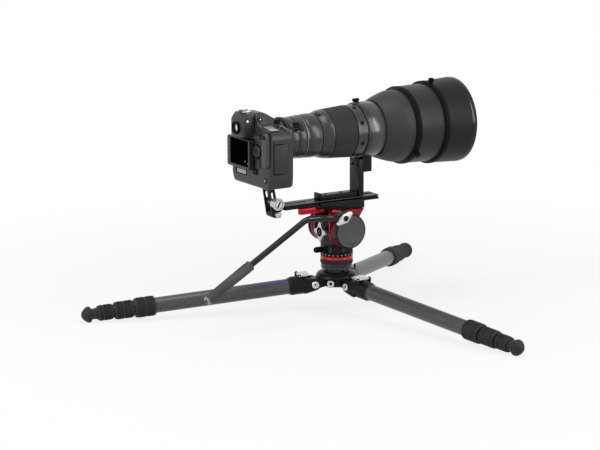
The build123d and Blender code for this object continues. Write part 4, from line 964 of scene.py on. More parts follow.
class RIG_OT_pan_bar(bpy.types.Operator):
    """Cranked pan bar with its ridged grip, and the clamp lever at its root"""

    bl_idname = "rig.pan_bar"
    bl_label = "Pan Bar and Clamp"

    def execute(self, context):
        along = (BAR_BEND - BAR_END).normalized()
        place = axis_place(BAR_END, along)
        bar = Piece("pan_bar_tube")
        bar.add(cut_off(frame_copy("pan_bar"), BAR_END + along * GRIP_LENGTH, -along), "gloss_black")
        grip = ribbed(turned(BAR_GRIP, steps=56), low=9, high=117, height=0.55, share=0.25)
        bar.add(grip, "grip_rubber", place)
        # Painted shade of the end cap's hole
        bar.add(turned(BAR_HOLE, steps=40), "painted_shade_and_black", place)
        bar.add(turned(BAR_CAP, steps=56), "pale_button_and_highlight", place)
        bar.make("bar", "black_alloy", "pan_bar")
        clamp = Piece("bar_clamp_wing")
        pivot = joint_spot("bar_clamp_lever_turn")
        inner, outer = (-corner.y for corner in reversed(box_mm("bar_clamp_lever")))
        face = axis_place((pivot.x, 0, pivot.z), TO_GRIP)
        wing = hull(*[
            rod((pivot.x + across, pivot.z + up), radius=radius, low=outer - 9, high=outer - 1.8, sides=40)
            for across, up, radius in WING_BOSSES
        ])
        clamp.add(softened(wing, width=2.2, segments=4), "silver", ON_SIDE)
        stem = turned([(inner, 0), (inner, 5.8), (outer - 8, 5.8), (outer - 8, 0)], steps=40)
        clamp.add(stem, "steel", face)
        clamp.add(turned([
            (outer - 2, 0), (outer - 2, 6.6), (outer - 0.8, 6.4), (outer - 0.2, 5.8), (outer - 0.6, 4.8),
            (outer - 1.2, 4.4), (outer - 1.2, 0),
        ], steps=48), "gloss_black", face)
        # Dark hexagon on the wing's face: painted shade of the hex socket
        recess = rod((pivot.x, pivot.z), radius=2.2, low=outer - 1.4, high=outer - 0.9, sides=6)
        clamp.add(recess, "painted_shade_and_black", ON_SIDE)
        clamp.make("bar_clamp_lever", "silver", "bar_clamp_lever")
        return {"FINISHED"}


# Pieces that carry the lens and camera
RECEIVER_SCREWS = ((-30, 241.5), (34, 241.5))
RAIL_TOP = 253
RAIL_REAR = -144.4
RAIL_FRONT = 96.4


class RIG_OT_plate(bpy.types.Operator):
    """Plate receiver, its red lever and the sliding rail"""

    bl_idname = "rig.plate"
    bl_label = "Receiver and Rail"

    def execute(self, context):
        receiver = Piece("plate_receiver_block")
        receiver.add(eased("plate_receiver", width=0.6), "black_alloy")
        for spot in RECEIVER_SCREWS:
            receiver.add(rod(spot, radius=2.4, low=26.7, high=27.15, sides=24), "gloss_black", ON_SIDE)
            # Dark hexagon in each screw head: painted shade of its socket
            receiver.add(rod(spot, radius=1.3, low=26.9, high=27.2, sides=6), "painted_shade_and_black", ON_SIDE)
        receiver.make("tilt", "black_alloy", "plate_receiver")
        lever = Piece("plate_release_lever")
        lever.add(eased("plate_lever", width=1.0, segments=3), "red_alloy")
        lever.make("plate_lever", "red_alloy", "plate_lever")
        rail = Piece("support_rail_bar")
        rail.add(eased("support_rail", width=0.5), "black_alloy")
        for along in range(-140, 96, 4):
            long = 3.08 if along % 20 == 0 else 1.68
            tick = block((along, -19.2, RAIL_TOP - 0.1), (along + 0.5, -19.2 + long, RAIL_TOP + 0.04))
            rail.add(tick, "print_white")
        # Pale strips along both top edges of the rail: painted highlight along the chamfers
        for side in (-19.75, 19.75):
            low = (RAIL_REAR, side - 0.22, RAIL_TOP - 0.4)
            high = (RAIL_FRONT, side + 0.22, RAIL_TOP + 0.02)
            rail.add(block(low, high), "pale_button_and_highlight")
        rail.make("rail", "black_alloy", "support_rail")
        return {"FINISHED"}


SCREW = [(0, 0), (0, 3.6), (1.6, 3.6), (2.2, 3.0), (2.2, 1.9), (0.8, 1.8), (0.8, 0)]
COLLAR_WAIST = [(56, 58), *crown((56, 60.2), (84, 60.2), bulge=0.9), (84, 58)]


class RIG_OT_lens_foot(bpy.types.Operator):
    """Lens foot with its post and screws, and the tripod collar"""

    bl_idname = "rig.lens_foot"
    bl_label = "Lens Foot and Collar"

    def execute(self, context):
        foot = Piece("lens_foot_post")
        foot.add(eased("lens_foot", width=0.8), "black_alloy")
        for side in (-9, 9):
            foot.add(turned(SCREW, steps=32), "gloss_black", axis_place((46, side, 322), REARWARD))
        for along in (-30, 10):
            foot.add(turned(SCREW, steps=32), "gloss_black", axis_place((along, 0, 263.2), UP))
        foot.make("rail", "black_alloy", "lens_foot")
        collar = Piece("lens_collar_ring")
        collar.add(eased("lens_collar", width=0.8), "lens_paint")
        # Dark bands round the collar: painted shade in its grooves
        for along in (49, 86.2):
            collar.add(band(along, along + 0.8, inner=60, outer=60.62), "painted_shade_and_black", LENS)
        collar.paint("black_alloy", lambda spot, normal: spot.z < LENS_HEIGHT - 59.5)
        collar.add(turned(COLLAR_WAIST, steps=128), "gloss_paint", LENS)
        collar.make("rail", "lens_paint", "lens_collar")
        return {"FINISHED"}


# Head of each arm knob, measured from its face
ARM_WHEEL = [
    (-9, 10.4), (-7.8, 12.2), (-7, 13), (-6, 13), (-1.6, 13), (-0.8, 12.8), (0, 12), (0, 10.6), (-1.2, 10),
    (-1.2, 0),
]
PIVOT_WHEEL = [
    (-8.4, 4), (-7.6, 5.6), (-7, 6), (-6.4, 6), (-1.4, 6), (-0.8, 6), (0, 5.2), (0, 4), (-0.5, 3.7),
    (-0.5, 0),
]


class RIG_OT_support_arm(bpy.types.Operator):
    """Folding arm under the camera and its two bright knobs"""

    bl_idname = "rig.support_arm"
    bl_label = "Camera Support Arm"

    def execute(self, context):
        low, high = box_mm("support_arm")
        outer = -low.y
        steps = 2 * context.scene.rig_details.knob_ribs
        arm = Piece("support_arm_cheeks")
        arm.add(eased("support_arm", width=0.7), "black_alloy")
        rest = block((low.x + 0.6, low.y + 0.6, high.z - 0.1), (low.x + 20.8, high.y - 0.6, high.z + 0.3))
        arm.add(rest, "black_rubber")
        arm.make("arm", "grey_alloy", "support_arm")
        stem = [(-outer, 0), (-outer, 2.95), (outer + 0.3, 2.95)]
        knob, place, face = self.start("arm_knob", "arm_lock_wheel")
        shank = [(outer + 0.3, 9.6), (outer + 1.1, 10.4)]
        wheel = turned(stem + shank + [(face + along, radius) for along, radius in ARM_WHEEL], steps)
        knob.add(ribbed(wheel, low=face - 5.9, high=face - 1.7, height=0.5), "silver", place)
        mark = softened(block((face - 1.3, -7.5, -1.6), (face - 0.5, 7.5, 1.6)), width=0.5)
        knob.add(mark, "painted_shade_and_black", place @ Matrix.Rotation(radians(60), 4, "X"))
        line = band(face - 1.3, face - 1.1, inner=8.6, outer=9.4, steps=48)
        knob.add(line, "painted_shade_and_black", place)
        knob.make("arm_knob", "silver", "arm_knob")
        pin, place, face = self.start("arm_pivot_knob", "arm_pivot_wheel")
        shank = [(outer + 0.3, 4)]
        wheel = turned(stem + shank + [(face + along, radius) for along, radius in PIVOT_WHEEL], steps)
        pin.add(ribbed(wheel, low=face - 6.3, high=face - 1.5, height=0.5), "silver", place)
        pin.make("arm_pivot_knob", "silver", "arm_pivot_knob")
        return {"FINISHED"}

    @staticmethod
    def start(name, title):
        """New piece for a knob, the place of its axis and how far out its face stands."""
        pivot = joint_spot(f"{name}_turn")
        return Piece(title), axis_place((pivot.x, 0, pivot.z), TO_GRIP), -box_mm(name)[0].y


# Pieces of the lens, with outlines along the optical axis
BARREL = [
    (-141, 30), (-141, 43.8), *crown((-140.4, 44.4), (-124, 44.9), bulge=0.5), (-123.6, 44.4),
    (-122.4, 44.4), *crown((-122, 45), (-104, 45.6), bulge=0.8), (-103.4, 46.6), (-97, 46.6), (-96.4, 45.9),
    *crown((-96, 46.2), (-66, 47.4), bulge=1.2), (-65.4, 46.9), (-64.2, 46.9), (-63.6, 47.6), (-60, 48.4),
    *crown((-58, 49), (-43, 53), bulge=0.5), (-40.5, 53.5), (-37.4, 53.5), (-36.6, 52.8), (-36.5, 50.75),
    (19.3, 50.75), (19.3, 56.2), (20.1, 57), (31, 57), (31.4, 56.6), (32.4, 56.6), (32.8, 57), (44.9, 57),
    (45.8, 56.4), (45.9, 55.75), (90.1, 55.75), (90.1, 61.2), (91, 62.2),
    *crown((92, 62.8), (100, 67), bulge=0.3), *crown((101, 67.4), (134, 78.2), bulge=0.6), (138, 79),
    (171.2, 79), (172, 78.2), (172, 70.2), (138, 70.2), (138, 65), (103, 60), (90, 50), (60, 46.2),
    (60, 43), (-36.5, 43), (-60, 40), (-140, 38),
]
MOUNT_RING = [
    (-150, 30), (-150, 43), (-149.2, 45.4), (-148, 46.8), (-146.6, 47.2), (-142.4, 47.2), (-141.4, 46.6),
    (-141, 45.4), (-141, 30),
]
# Along, radius and width of the dark lines round the barrel, which are painted shade in the grooves between its
# rings
BARREL_GROOVE_SHADES = (
    (-123.7, 44.9, 1.4), (-98.4, 46.6, 0.8), (-65.6, 47.5, 1.6), (-38.4, 53.5, 1.8), (19.2, 57, 1.6),
    (44.6, 57, 1.4), (89.9, 61.9, 1.6), (155.4, 79, 2.4),
)
SWITCH_PANEL = [(-138, 43), (-138, 45.4), (-136, 46.4), (-112, 47.2), (-110, 46.4), (-110, 44)]
# Angle in degrees and height of the panel's switches
SWITCHES = ((-62, 48.6), (-53, 48), (-44, 48.4))
FRONT_PATCH = [(-61, 47.5), (-61, 50.2), (-59, 51), (-52, 52), (-50, 51.4), (-50, 48)]
HOLD_BUTTON = [(28, 56.6), (28, 57.1), (28.6, 57.5), (36, 57.5), (36.6, 57.1), (36.6, 56.6)]
HOLD_ANGLES = (-68, -24, 66, 156, 246)
CONE_START = 91.5


class RIG_OT_lens_barrel(bpy.types.Operator):
    """Barrel with its mount ring, switch panel and function patches, and the glass"""

    bl_idname = "rig.lens_barrel"
    bl_label = "Lens Barrel and Glass"

    def execute(self, context):
        barrel = Piece("lens_barrel_turning")
        barrel.add(turned(BARREL, steps=144), "lens_paint", LENS)
        barrel.paint("cone_paint", lambda spot, normal: spot.x > CONE_START)
        barrel.add(turned(MOUNT_RING, steps=128), "gloss_black", LENS)
        barrel.add(band(low=-102.6, high=-101.4, inner=46.2, outer=46.85), "pale_button_and_highlight", LENS)
        # Dark rings in the grooves: painted shade
        for along, radius, width in BARREL_GROOVE_SHADES:
            barrel.add(band(along, along + width, radius - 1.6, radius + 0.08), "painted_shade_and_black", LENS)
        barrel.add(segment(SWITCH_PANEL, start=-66, sweep=30), "gloss_black", LENS)
        for angle, rise in SWITCHES:
            switch = [
                (-132, 46), (-132, rise - 0.6), (-131, rise), (-119, rise + 0.3), (-118, rise - 0.4),
                (-118, 46),
            ]
            barrel.add(segment(switch, start=angle, sweep=5, steps=6), "black_rubber", LENS)
        barrel.add(segment(FRONT_PATCH, start=-24, sweep=15), "gloss_black", LENS)
        for angle in HOLD_ANGLES:
            barrel.add(segment(HOLD_BUTTON, start=angle, sweep=8), "black_rubber", LENS)
        barrel.make("rail", "lens_paint", "lens_barrel")
        glass = Piece("lens_elements")
        glass.add(frame_copy("lens_glass"), "coated_glass")
        glass.make("rail", "glass", "lens_glass")
        return {"FINISHED"}


FOCUS_SLEEVE = [
    (-36.2, 50.9), (-36.2, 53.2), (-35.4, 53.9), (-33.6, 54), (-33, 53.6), (14.6, 56.4), (15.2, 56.9),
    (18, 57), (19, 56.2), (19, 50.9),
]


class RIG_OT_focus_ring(bpy.types.Operator):
    """Focus ring with fine lengthwise ribs"""

    bl_idname = "rig.focus_ring"
    bl_label = "Focus Ring"

    def execute(self, context):
        sleeve = turned(FOCUS_SLEEVE, steps=2 * context.scene.rig_details.focus_ribs)
        focus = Piece("focus_ring_rubber")
        focus.add(ribbed(sleeve, low=-32.9, high=14.5, height=0.3), "rubber", LENS)
        focus.make("focus_ring", "rubber", "focus_ring")
        return {"FINISHED"}


# Thumb screws and their radii
LENS_KNOBS = {"collar_knob": 8, "hood_rear_knob": 6.5, "hood_front_knob": 6.5}


class RIG_OT_lens_knobs(bpy.types.Operator):
    """Thumb screws of the collar and of both hood sections"""

    bl_idname = "rig.lens_knobs"
    bl_label = "Lens Thumb Screws"

    def execute(self, context):
        steps = 2 * context.scene.rig_details.knob_ribs
        for name, radius in LENS_KNOBS.items():
            axis = Vector(joint(f"{name}_turn")["axis"])
            origin = Vector((joint_spot(f"{name}_turn").x, 0, LENS_HEIGHT))
            top = max((vert.co / MM - origin).dot(axis) for vert in frame["nodes"][name].data.vertices)
            grip = turned([
                (top - 11, 0), (top - 11, 2.45), (top - 8, 2.45), (top - 8, radius - 2),
                (top - 6.6, radius - 1.6), (top - 5.8, radius - 0.5), (top - 5.2, radius - 0.5),
                (top - 1.4, radius - 0.5), (top - 0.7, radius - 0.6), (top, radius - 1.4),
                (top, radius - 3), (top - 0.4, radius - 3.4), (top - 0.4, 0),
            ], steps)
            ribbed(grip, low=top - 5.1, high=top - 1.5, height=0.5)
            knob = Piece(f"{name}_screw")
            knob.add(grip, "black_rubber", axis_place(origin, axis))
            knob.make(name, "black_alloy", name)
        return {"FINISHED"}


# Paint, rear end, rear rim's radius and wall of each hood section
HOODS = {
    "hood_rear": ("hood_paint", 158, 85.5, [
        (158, 79.2), (158, 84.2), (166, 84.4), *crown((167, 84.5), (226, 86), bulge=0.4), (236, 86),
        (236, 83.5), (172.1, 82), (172.1, 79.2),
    ]),
    "hood_front": ("front_paint", 228, 91.5, [
        (228, 86.2), (228, 90.3), (236, 90.5), *crown((237, 90.5), (307, 94), bulge=0.4), (308, 93.2),
        (307.9, 91.5), (248, 88), (248, 86.3),
    ]),
}
FRONT_RIM = [
    (296, 91.6), (296, 93.2), (296.6, 93.9), *crown((297.4, 94), (305.6, 94.2), bulge=0.35), (307.4, 93.6),
    (308, 92.6), (307.6, 91.6),
]


class RIG_OT_hood(bpy.types.Operator):
    """Two hood sections with black rims and a dark lining"""

    bl_idname = "rig.hood"
    bl_label = "Lens Hood"

    def execute(self, context):
        for name, (paint, rear, radius, wall) in HOODS.items():
            hood = Piece(f"{name}_shell")
            hood.add(turned(wall, steps=144), paint, LENS)
            hood.paint("painted_shade_and_black", self.faces_in)
            hood.add(turned([
                (rear - 0.1, radius - 2), (rear - 0.1, radius - 0.2), (rear + 0.5, radius + 0.3),
                (rear + 9, radius + 0.3), (rear + 9.8, radius - 0.4), (rear + 9.8, radius - 2),
            ], steps=144), "black_rubber", LENS)
            if name == "hood_front":
                hood.add(turned(FRONT_RIM, steps=144), "gloss_black", LENS)
            hood.make("rail", "hood_carbon", name)
        return {"FINISHED"}

    @staticmethod
    def faces_in(spot, normal):
        """Whether a face looks towards the optical axis."""
        return normal.dot(Vector((0, spot.y, spot.z - LENS_HEIGHT))) < -5


# Pieces of the camera, drawn as seen from behind: across to the right, up, and out towards the viewer
BODY = (
    (-74, 326), (-66, 304.2), (76, 304.2), (84, 322), (84, 420), (72, 431), (40, 436), (25, 464), (-25, 464),
    (-42, 434), (-74, 428),
)
BODY_CORNER = 8
BODY_FRONT = 163
BODY_SPLIT = 215
BODY_REAR = 223
SCREEN_FACE = 237
GRIP_SIDE = 84
BAY_DEPTH = 2.8
FINDER_TOP = 464


def stood(outline, place, steps):
    """Spin an outline about an upright axis at (x, y)."""
    shape = turned(outline, steps)
    bmesh.ops.transform(shape, matrix=axis_place((*place, 0), UP), verts=shape.verts)
    return shape


def button(place, radius, face, rise, steps=24):
    """Round push button with a soft edge and a dished top, standing on a face."""
    return stood([
        (face - 0.6, 0), (face - 0.6, radius), (face + rise * 0.5, radius),
        (face + rise * 0.9, radius * 0.88), (face + rise, radius * 0.7), (face + rise * 0.85, 0),
    ], place, steps)


def ring(place, inner, outer, face, rise):
    """Flat ring standing on a face."""
    return stood([
        (face - 0.5, inner), (face - 0.5, outer), (face + rise * 0.6, outer),
        (face + rise, outer - rise * 0.5), (face + rise, inner + rise * 0.5), (face + rise * 0.6, inner),
    ], place, steps=48)


RELEASE_COLLAR = [(422, 6.3), (422, 9.4), (432.6, 9.4), (434.2, 8.8), (434.8, 7.8), (434.8, 6.3)]
SOCKET_COVERS = (((190, 372), (36, 56)), ((190, 331), (36, 22)))
# Across, up, radius, rise and steps of the buttons on the front
FRONT_BUTTONS = ((58, 398, 6.5, 3.4, 36), (-50, 352, 3.6, 2.2, 24), (-50, 366, 3.6, 2.2, 24))
# Side and height of the strap lugs
STRAP_LUGS = ((-1, 440), (1, 432))
SKIN_EDGE = -213
GRIP_ENDS = (307, 418)
BODY_MOUNT = [(-168, 32.2), (-168, 44), (-151.4, 44), (-150.4, 43), (-150.4, 32.2)]
CARD_SLOT_HEIGHTS = (352, 390)
# Places across of the buttons behind the release, on the shoulder's slope
TOP_BUTTONS = (-72, -45)
SHOULDER_SLOPE = 0.156


class RIG_OT_camera_shell(bpy.types.Operator):
    """Front shell of the camera with its grip, covers, lugs and mount ring"""

    bl_idname = "rig.camera_shell"
    bl_label = "Camera Shell"

    def execute(self, context):
        shell = Piece("camera_shell")
        shell.add(self.body(), "camera_plastic", ON_REAR)
        shell.paint("camera_skin", lambda spot, normal: spot.y < 0.1 - GRIP_SIDE and spot.x > SKIN_EDGE)
        # The floor of the card bay is made near-black: painted shade in the recess
        shell.paint("painted_shade_and_black", self.in_bay)
        bottom, top = GRIP_ENDS
        grip = pad((-178, -65), (36, 37), corner=13, low=bottom, high=top, steps=10)
        softened(grip, width=6, segments=5, test=lambda spot: spot.z < bottom + 0.1 or spot.z > top - 0.1)
        shell.add(grip, "camera_skin")
        shell.add(turned(BODY_MOUNT, steps=96), "black_alloy", LENS)
        for height in CARD_SLOT_HEIGHTS:
            card_slot = block((-207, -81.4, height - 1.2), (-183, -81, height + 1.2))
            shell.add(card_slot, "inner_parts")
        # Dark strip along the card door's edge: painted shade of the gap
        door_gap = pad((-213.6, 375), (2.2, 74), corner=1, low=83.6, high=84.12)
        shell.add(door_gap, "painted_shade_and_black", ON_SIDE)
        release = middle("shutter_button")
        shell.add(turned(RELEASE_COLLAR, steps=64), "gloss_black", axis_place((release.x, release.y, 0), UP))
        lean = Matrix.Translation((-203, -57, 433.35)) @ Matrix.Rotation(atan2(5, 32), 4, "X")
        window_frame = pad((0, 0), (23, 33), corner=3, low=-1, high=0.9)
        shell.add(softened(window_frame, width=0.5), "gloss_black", lean)
        window = pad((0, 0), (20.5, 30.5), corner=2, low=-1, high=1.1)
        shell.add(softened(window, width=0.3), "top_window", lean)
        for spot, size in SOCKET_COVERS:
            shell.add(pad(spot, size, corner=4, low=73.6, high=74.7), "black_rubber", ON_LEFT)
        # Dark line between the two socket covers: painted shade of the split
        cover_split = block((184, 371.4, 74), (196, 372.6, 74.9))
        shell.add(cover_split, "painted_shade_and_black", ON_LEFT)
        for across, up, radius, rise, steps in FRONT_BUTTONS:
            shell.add(button((across, up), radius, -BODY_FRONT, rise, steps), "gloss_black", ON_FRONT)
        tripod_bush = ring((176, 0), inner=3.4, outer=8, face=-304.2, rise=0.3)
        shell.add(tripod_bush, "steel", Matrix.Rotation(pi, 4, "Y"))
        for side, height in STRAP_LUGS:
            lug = softened(pad((-176, height), (12, 20), corner=5, low=-2, high=2), width=0.8)
            shell.add(lug, "black_rubber", Matrix.Translation((0, side * 40 + 2, 0)) @ ON_SIDE)
        for across in TOP_BUTTONS:
            shoulder = 433 + (across + 57) * SHOULDER_SLOPE
            shell.add(button((-178, across), radius=2.8, face=shoulder, rise=2.0), "gloss_black")
        shell.make("rail", "black_plastic", "camera_body")
        return {"FINISHED"}

    @staticmethod
    def body():
        """Body with a sloped prism housing, a soft front and a bay for the card door."""
        crest = Vector((0, FINDER_TOP, 200))
        slope = Vector((0, 37, -24)).normalized()
        shape = cut_off(slab(BODY, BODY_CORNER, BODY_FRONT, BODY_SPLIT), crest, slope)

        def at_front(spot):
            """Whether an edge lies on the front face or round the slope."""
            return spot.z < BODY_FRONT + 0.1 or abs((spot - crest).dot(slope)) < 0.05

        softened(shape, width=5, segments=5, test=at_front)
        low, high = box_mm("card_door")
        gap = 0.4
        return sunk(shape, (low.z - gap, -high.x - gap), (high.z + gap, -low.x + gap), BAY_DEPTH)

    @staticmethod
    def in_bay(spot, normal):
        """Whether a face is the floor of the card bay."""
        return normal.y < -0.9 and -82 < spot.y < -80 and 336 < spot.z < 406


# Centre, size, corner, lower face, top face, rounding, its steps and finish of the raised parts of the back
BACK_PADS = (
    ((22, 375), (5, 56), 2, 236, 237.6, 0.7, 3, "gloss_black"),
    ((34, 415), (38, 10), 4, 221, 226, 2, 4, "camera_plastic"),
    ((38, 357), (14, 20), 6, 221, 226.5, 2.4, 4, "camera_plastic"),
)
# Centre, size, corner, lower face, top face and corner steps of the dark rims under the raised blocks, dial and
# button of the back: painted shade where they meet the cover
BACK_SHADE_RIMS = {
    "screen_housing": ((-24.75, 373), (93.6, 69.4), 6, 220, 223.2, 6),
    "finder": ((-4, 436), (55.4, 52), 4, 220, 223.2, 6),
    "thumb_rest": ((70, 390), (26, 78.4), 12, 218, 223.15, 10),
    "command_dial": ((66, 419), (22, 9), 2.5, 229, 231.2, 6),
    "lower_button": ((25, 338), (21, 13), 3, 222.5, 223.5, 6),
}
# Centre, inner and outer radius, rise and finish of the rings round the corner button and the selector; the dark
# ring round the selector is painted shade of its recess
BACK_RINGS = (((65, 324), 3.6, 7, 2.2, "gloss_black"), ((34, 383), 12.4, 15.6, 0.5, "painted_shade_and_black"))
THUMB_FACE = 231
# Across, up, radius, face, rise and finish of the buttons on the back
BACK_BUTTONS = (
    *[(-65.5, up, 2.5, SCREEN_FACE, 1.6, "pale_button_and_highlight") for up in (393.8, 387.2, 379.5, 372.9, 366.3, 352)],
    (22, 415.8, 3.4, BODY_REAR, 2.4, "pale_button_and_highlight"),
    (40, 420, 3.2, BODY_REAR, 2.0, "gloss_black"),
    (-66, 333, 2.4, BODY_REAR, 1.4, "pale_button_and_highlight"),
    (6, 358, 1.4, SCREEN_FACE, 0.7, "pale_button_and_highlight"),
    (17, 355, 1.6, SCREEN_FACE, 0.8, "pale_button_and_highlight"),
    (65, 324, 3.2, BODY_REAR, 2.6, "pale_button_and_highlight"),
    (25, 338, 3, BODY_REAR + 0.4, 2.2, "gloss_black"),
)
SHOE_ENDS = (-243.5, -223.5)
SHOE_HALF = 10.7


class RIG_OT_camera_back(bpy.types.Operator):
    """Rear cover with its buttons, screen housing, finder and shoe"""

    bl_idname = "rig.camera_back"
    bl_label = "Camera Back"

    def execute(self, context):
        cover = Piece("camera_cover")
        back = slab(BODY, BODY_CORNER, BODY_SPLIT + 0.1, BODY_REAR)
        cover.add(topped(back, width=5, segments=5, top=BODY_REAR), "camera_plastic", ON_REAR)
        screen = pad((-24.75, 373), (90.5, 66), corner=5, low=220, high=SCREEN_FACE)
        cover.add(topped(screen, width=2.4, segments=4, top=SCREEN_FACE), "camera_plastic", ON_REAR)
        for spot, size, corner, low, high, width, steps, name in BACK_PADS:
            cover.add(softened(pad(spot, size, corner, low, high), width, steps), name, ON_REAR)
        # Dark rims round the raised parts: painted shade
        for shade_rim in BACK_SHADE_RIMS.values():
            cover.add(pad(*shade_rim), "painted_shade_and_black", ON_REAR)
        thumb_rest = pad((70, 390), (24, 76), corner=11, low=218, high=THUMB_FACE, steps=10)
        cover.add(topped(thumb_rest, width=6, segments=5, top=THUMB_FACE), "grip_rubber", ON_REAR)
        finder = hull(block((-252, -22, 412), (-222, 30, 450)), block((-242, -22, 412), (-222, 30, 463.6)))
        cover.add(softened(finder, width=4.5, segments=5, test=lambda spot: spot.x < -223), "camera_plastic")
        self.add_shoe(cover)
        for across, up, radius, face, rise, name in BACK_BUTTONS:
            cover.add(button((across, up), radius, face, rise), name, ON_REAR)
        # The dark ring round the selector is painted shade
        for spot, inner, outer, rise, name in BACK_RINGS:
            cover.add(ring(spot, inner, outer, BODY_REAR, rise), name, ON_REAR)
        side_dial = ring((-218, 452), inner=2.2, outer=5.4, face=32, rise=5)
        cover.add(side_dial, "gloss_black", ON_SIDE)
        cover.add(button((-218, 452), radius=1.9, face=36, rise=0.8), "steel", ON_SIDE)
        finder_screw = button((-241, 446.9), radius=3, face=22, rise=1.2)
        cover.add(finder_screw, "steel", ON_SIDE)
        cover.make("rail", "black_plastic", "camera_back")
        return {"FINISHED"}

    @staticmethod
    def add_shoe(cover):
        """Accessory shoe on top of the finder: bed, stop and two lips."""
        rear, front = SHOE_ENDS
        cover.add(block((rear, -SHOE_HALF, 463), (front, SHOE_HALF, 464.8)), "gloss_black")
        cover.add(softened(block((front - 1.5, -9.4, 464), (front, 9.4, 468)), width=0.3), "gloss_black")
        for side in (-1, 1):
            for inner, low, high in ((9.3, 464, 469), (6.5, 467.6, 469)):
                across = sorted((side * inner, side * SHOE_HALF))
                lip = block((rear, across[0], low), (front, across[1], high))
                cover.add(softened(lip, width=0.3), "steel")


COMMAND_WHEEL = [
    (-6, 0), (-6, 1.45), (-3, 1.45), (-3, 9.2), (-2.4, 10), (2.4, 10), (3, 9.2), (3, 1.45), (6, 1.45), (6, 0),
]
SELECTOR = [
    (-3.1, 0), (-3.1, 11.9), (2.2, 11.9), (3, 11), (3.1, 10), (2.4, 8.8), (1.9, 5), (1.9, 4.4), (2.6, 4),
    (2.8, 3), (2.8, 0),
]
# Pale rim round the selector: painted highlight
SELECTOR_RIM = [(2.4, 9.2), (2.9, 10.1), (3.15, 10.4), (3.15, 10.9), (2.4, 11.2)]


class RIG_OT_camera_controls(bpy.types.Operator):
    """Release button, command dial, selector and card door"""

    bl_idname = "rig.camera_controls"
    bl_label = "Camera Controls"

    def execute(self, context):
        place = middle("shutter_button")
        top = box_mm("shutter_button")[1].z
        release = Piece("shutter_release")
        release.add(turned([
            (top - 8.5, 0), (top - 8.5, 5.9), (top - 1, 5.9), (top - 0.4, 5.5), (top, 4.4), (top - 0.5, 2),
            (top - 0.6, 0),
        ], steps=48), "gloss_black", axis_place((place.x, place.y, 0), UP))
        release.make("shutter_button", "black_plastic", "shutter_button")
        dial = Piece("command_wheel")
        wheel = ribbed(turned(COMMAND_WHEEL, steps=48), low=-2.3, high=2.3, height=0.45)
        dial.add(wheel, "rubber", axis_place(middle("command_dial"), UP))
        dial.make("command_dial", "rubber", "command_dial")
        place = axis_place(middle("multi_selector"), REARWARD)
        selector = Piece("rear_selector")
        selector.add(turned(SELECTOR, steps=64), "camera_plastic", place)
        # The pale rim is a painted highlight
        selector.add(turned(SELECTOR_RIM, steps=64), "pale_button_and_highlight", place)
        selector.make("multi_selector", "black_plastic", "multi_selector")
        door = Piece("card_bay_door")
        door.add(eased("card_door", width=0.4), "camera_skin")
        door.make("card_door", "black_plastic", "card_door")
        return {"FINISHED"}


class RIG_OT_screens(bpy.types.Operator):
    """Rear screen and the small status window"""

    bl_idname = "rig.screens"
    bl_label = "Screens"

    def execute(self, context):
        glass = Piece("rear_screens")
        large = pad((-19.5, 375), (73, 57), corner=2, low=235.5, high=237.3)
        glass.add(softened(large, width=0.4), "screen", ON_REAR)
        surround = pad((-33, 330), (45.5, 13), corner=1.5, low=221.6, high=223.2)
        glass.add(surround, "screen", ON_REAR)
        status = pad((-32, 330), (37, 8.6), corner=0.8, low=222, high=223.35)
        glass.add(status, "info_panel", ON_REAR)
        glass.make("rail", "screen", "monitor")
        return {"FINISHED"}


EYECUP = [(252, 9), (252, 13.4), (253, 14), (256.5, 14), (257.8, 13), (258, 12), (257.4, 11), (254.4, 9)]
FINDER_WINDOW = [(251.4, 0), (251.4, 8.9), (252.3, 8.9), (253.2, 6), (253.6, 0)]


class RIG_OT_eyepiece(bpy.types.Operator):
    """Rubber eyecup with its window, and the works inside the camera"""

    bl_idname = "rig.eyepiece"
    bl_label = "Eyepiece and Works"

    def execute(self, context):
        spot = middle("eyepiece")
        place = axis_place((0, spot.y, spot.z), REARWARD)
        cup = Piece("eyecup")
        cup.add(turned(EYECUP, steps=64), "black_rubber", place)
        cup.add(turned(FINDER_WINDOW, steps=48), "bright_window", place)
        cup.make("rail", "rubber", "eyepiece")
        inner = Piece("camera_works")
        inner.add(frame_copy("camera_internals"), "inner_parts")
        inner.make("rail", "inner", "camera_internals")
        return {"FINISHED"}


# The studio in metres, the sensor in millimetres, and how the floor fades to white away from the object
FLOOR_RADIUS = 30
FLOOR_DROP = 0.0004
FLOOR_FADE = {"from_min": 0.3, "from_max": 1.3, "to_min": 0.80}
LIGHT_DISTANCE = 2.2
SENSOR_WIDTH = 36
VIEW_END = 100


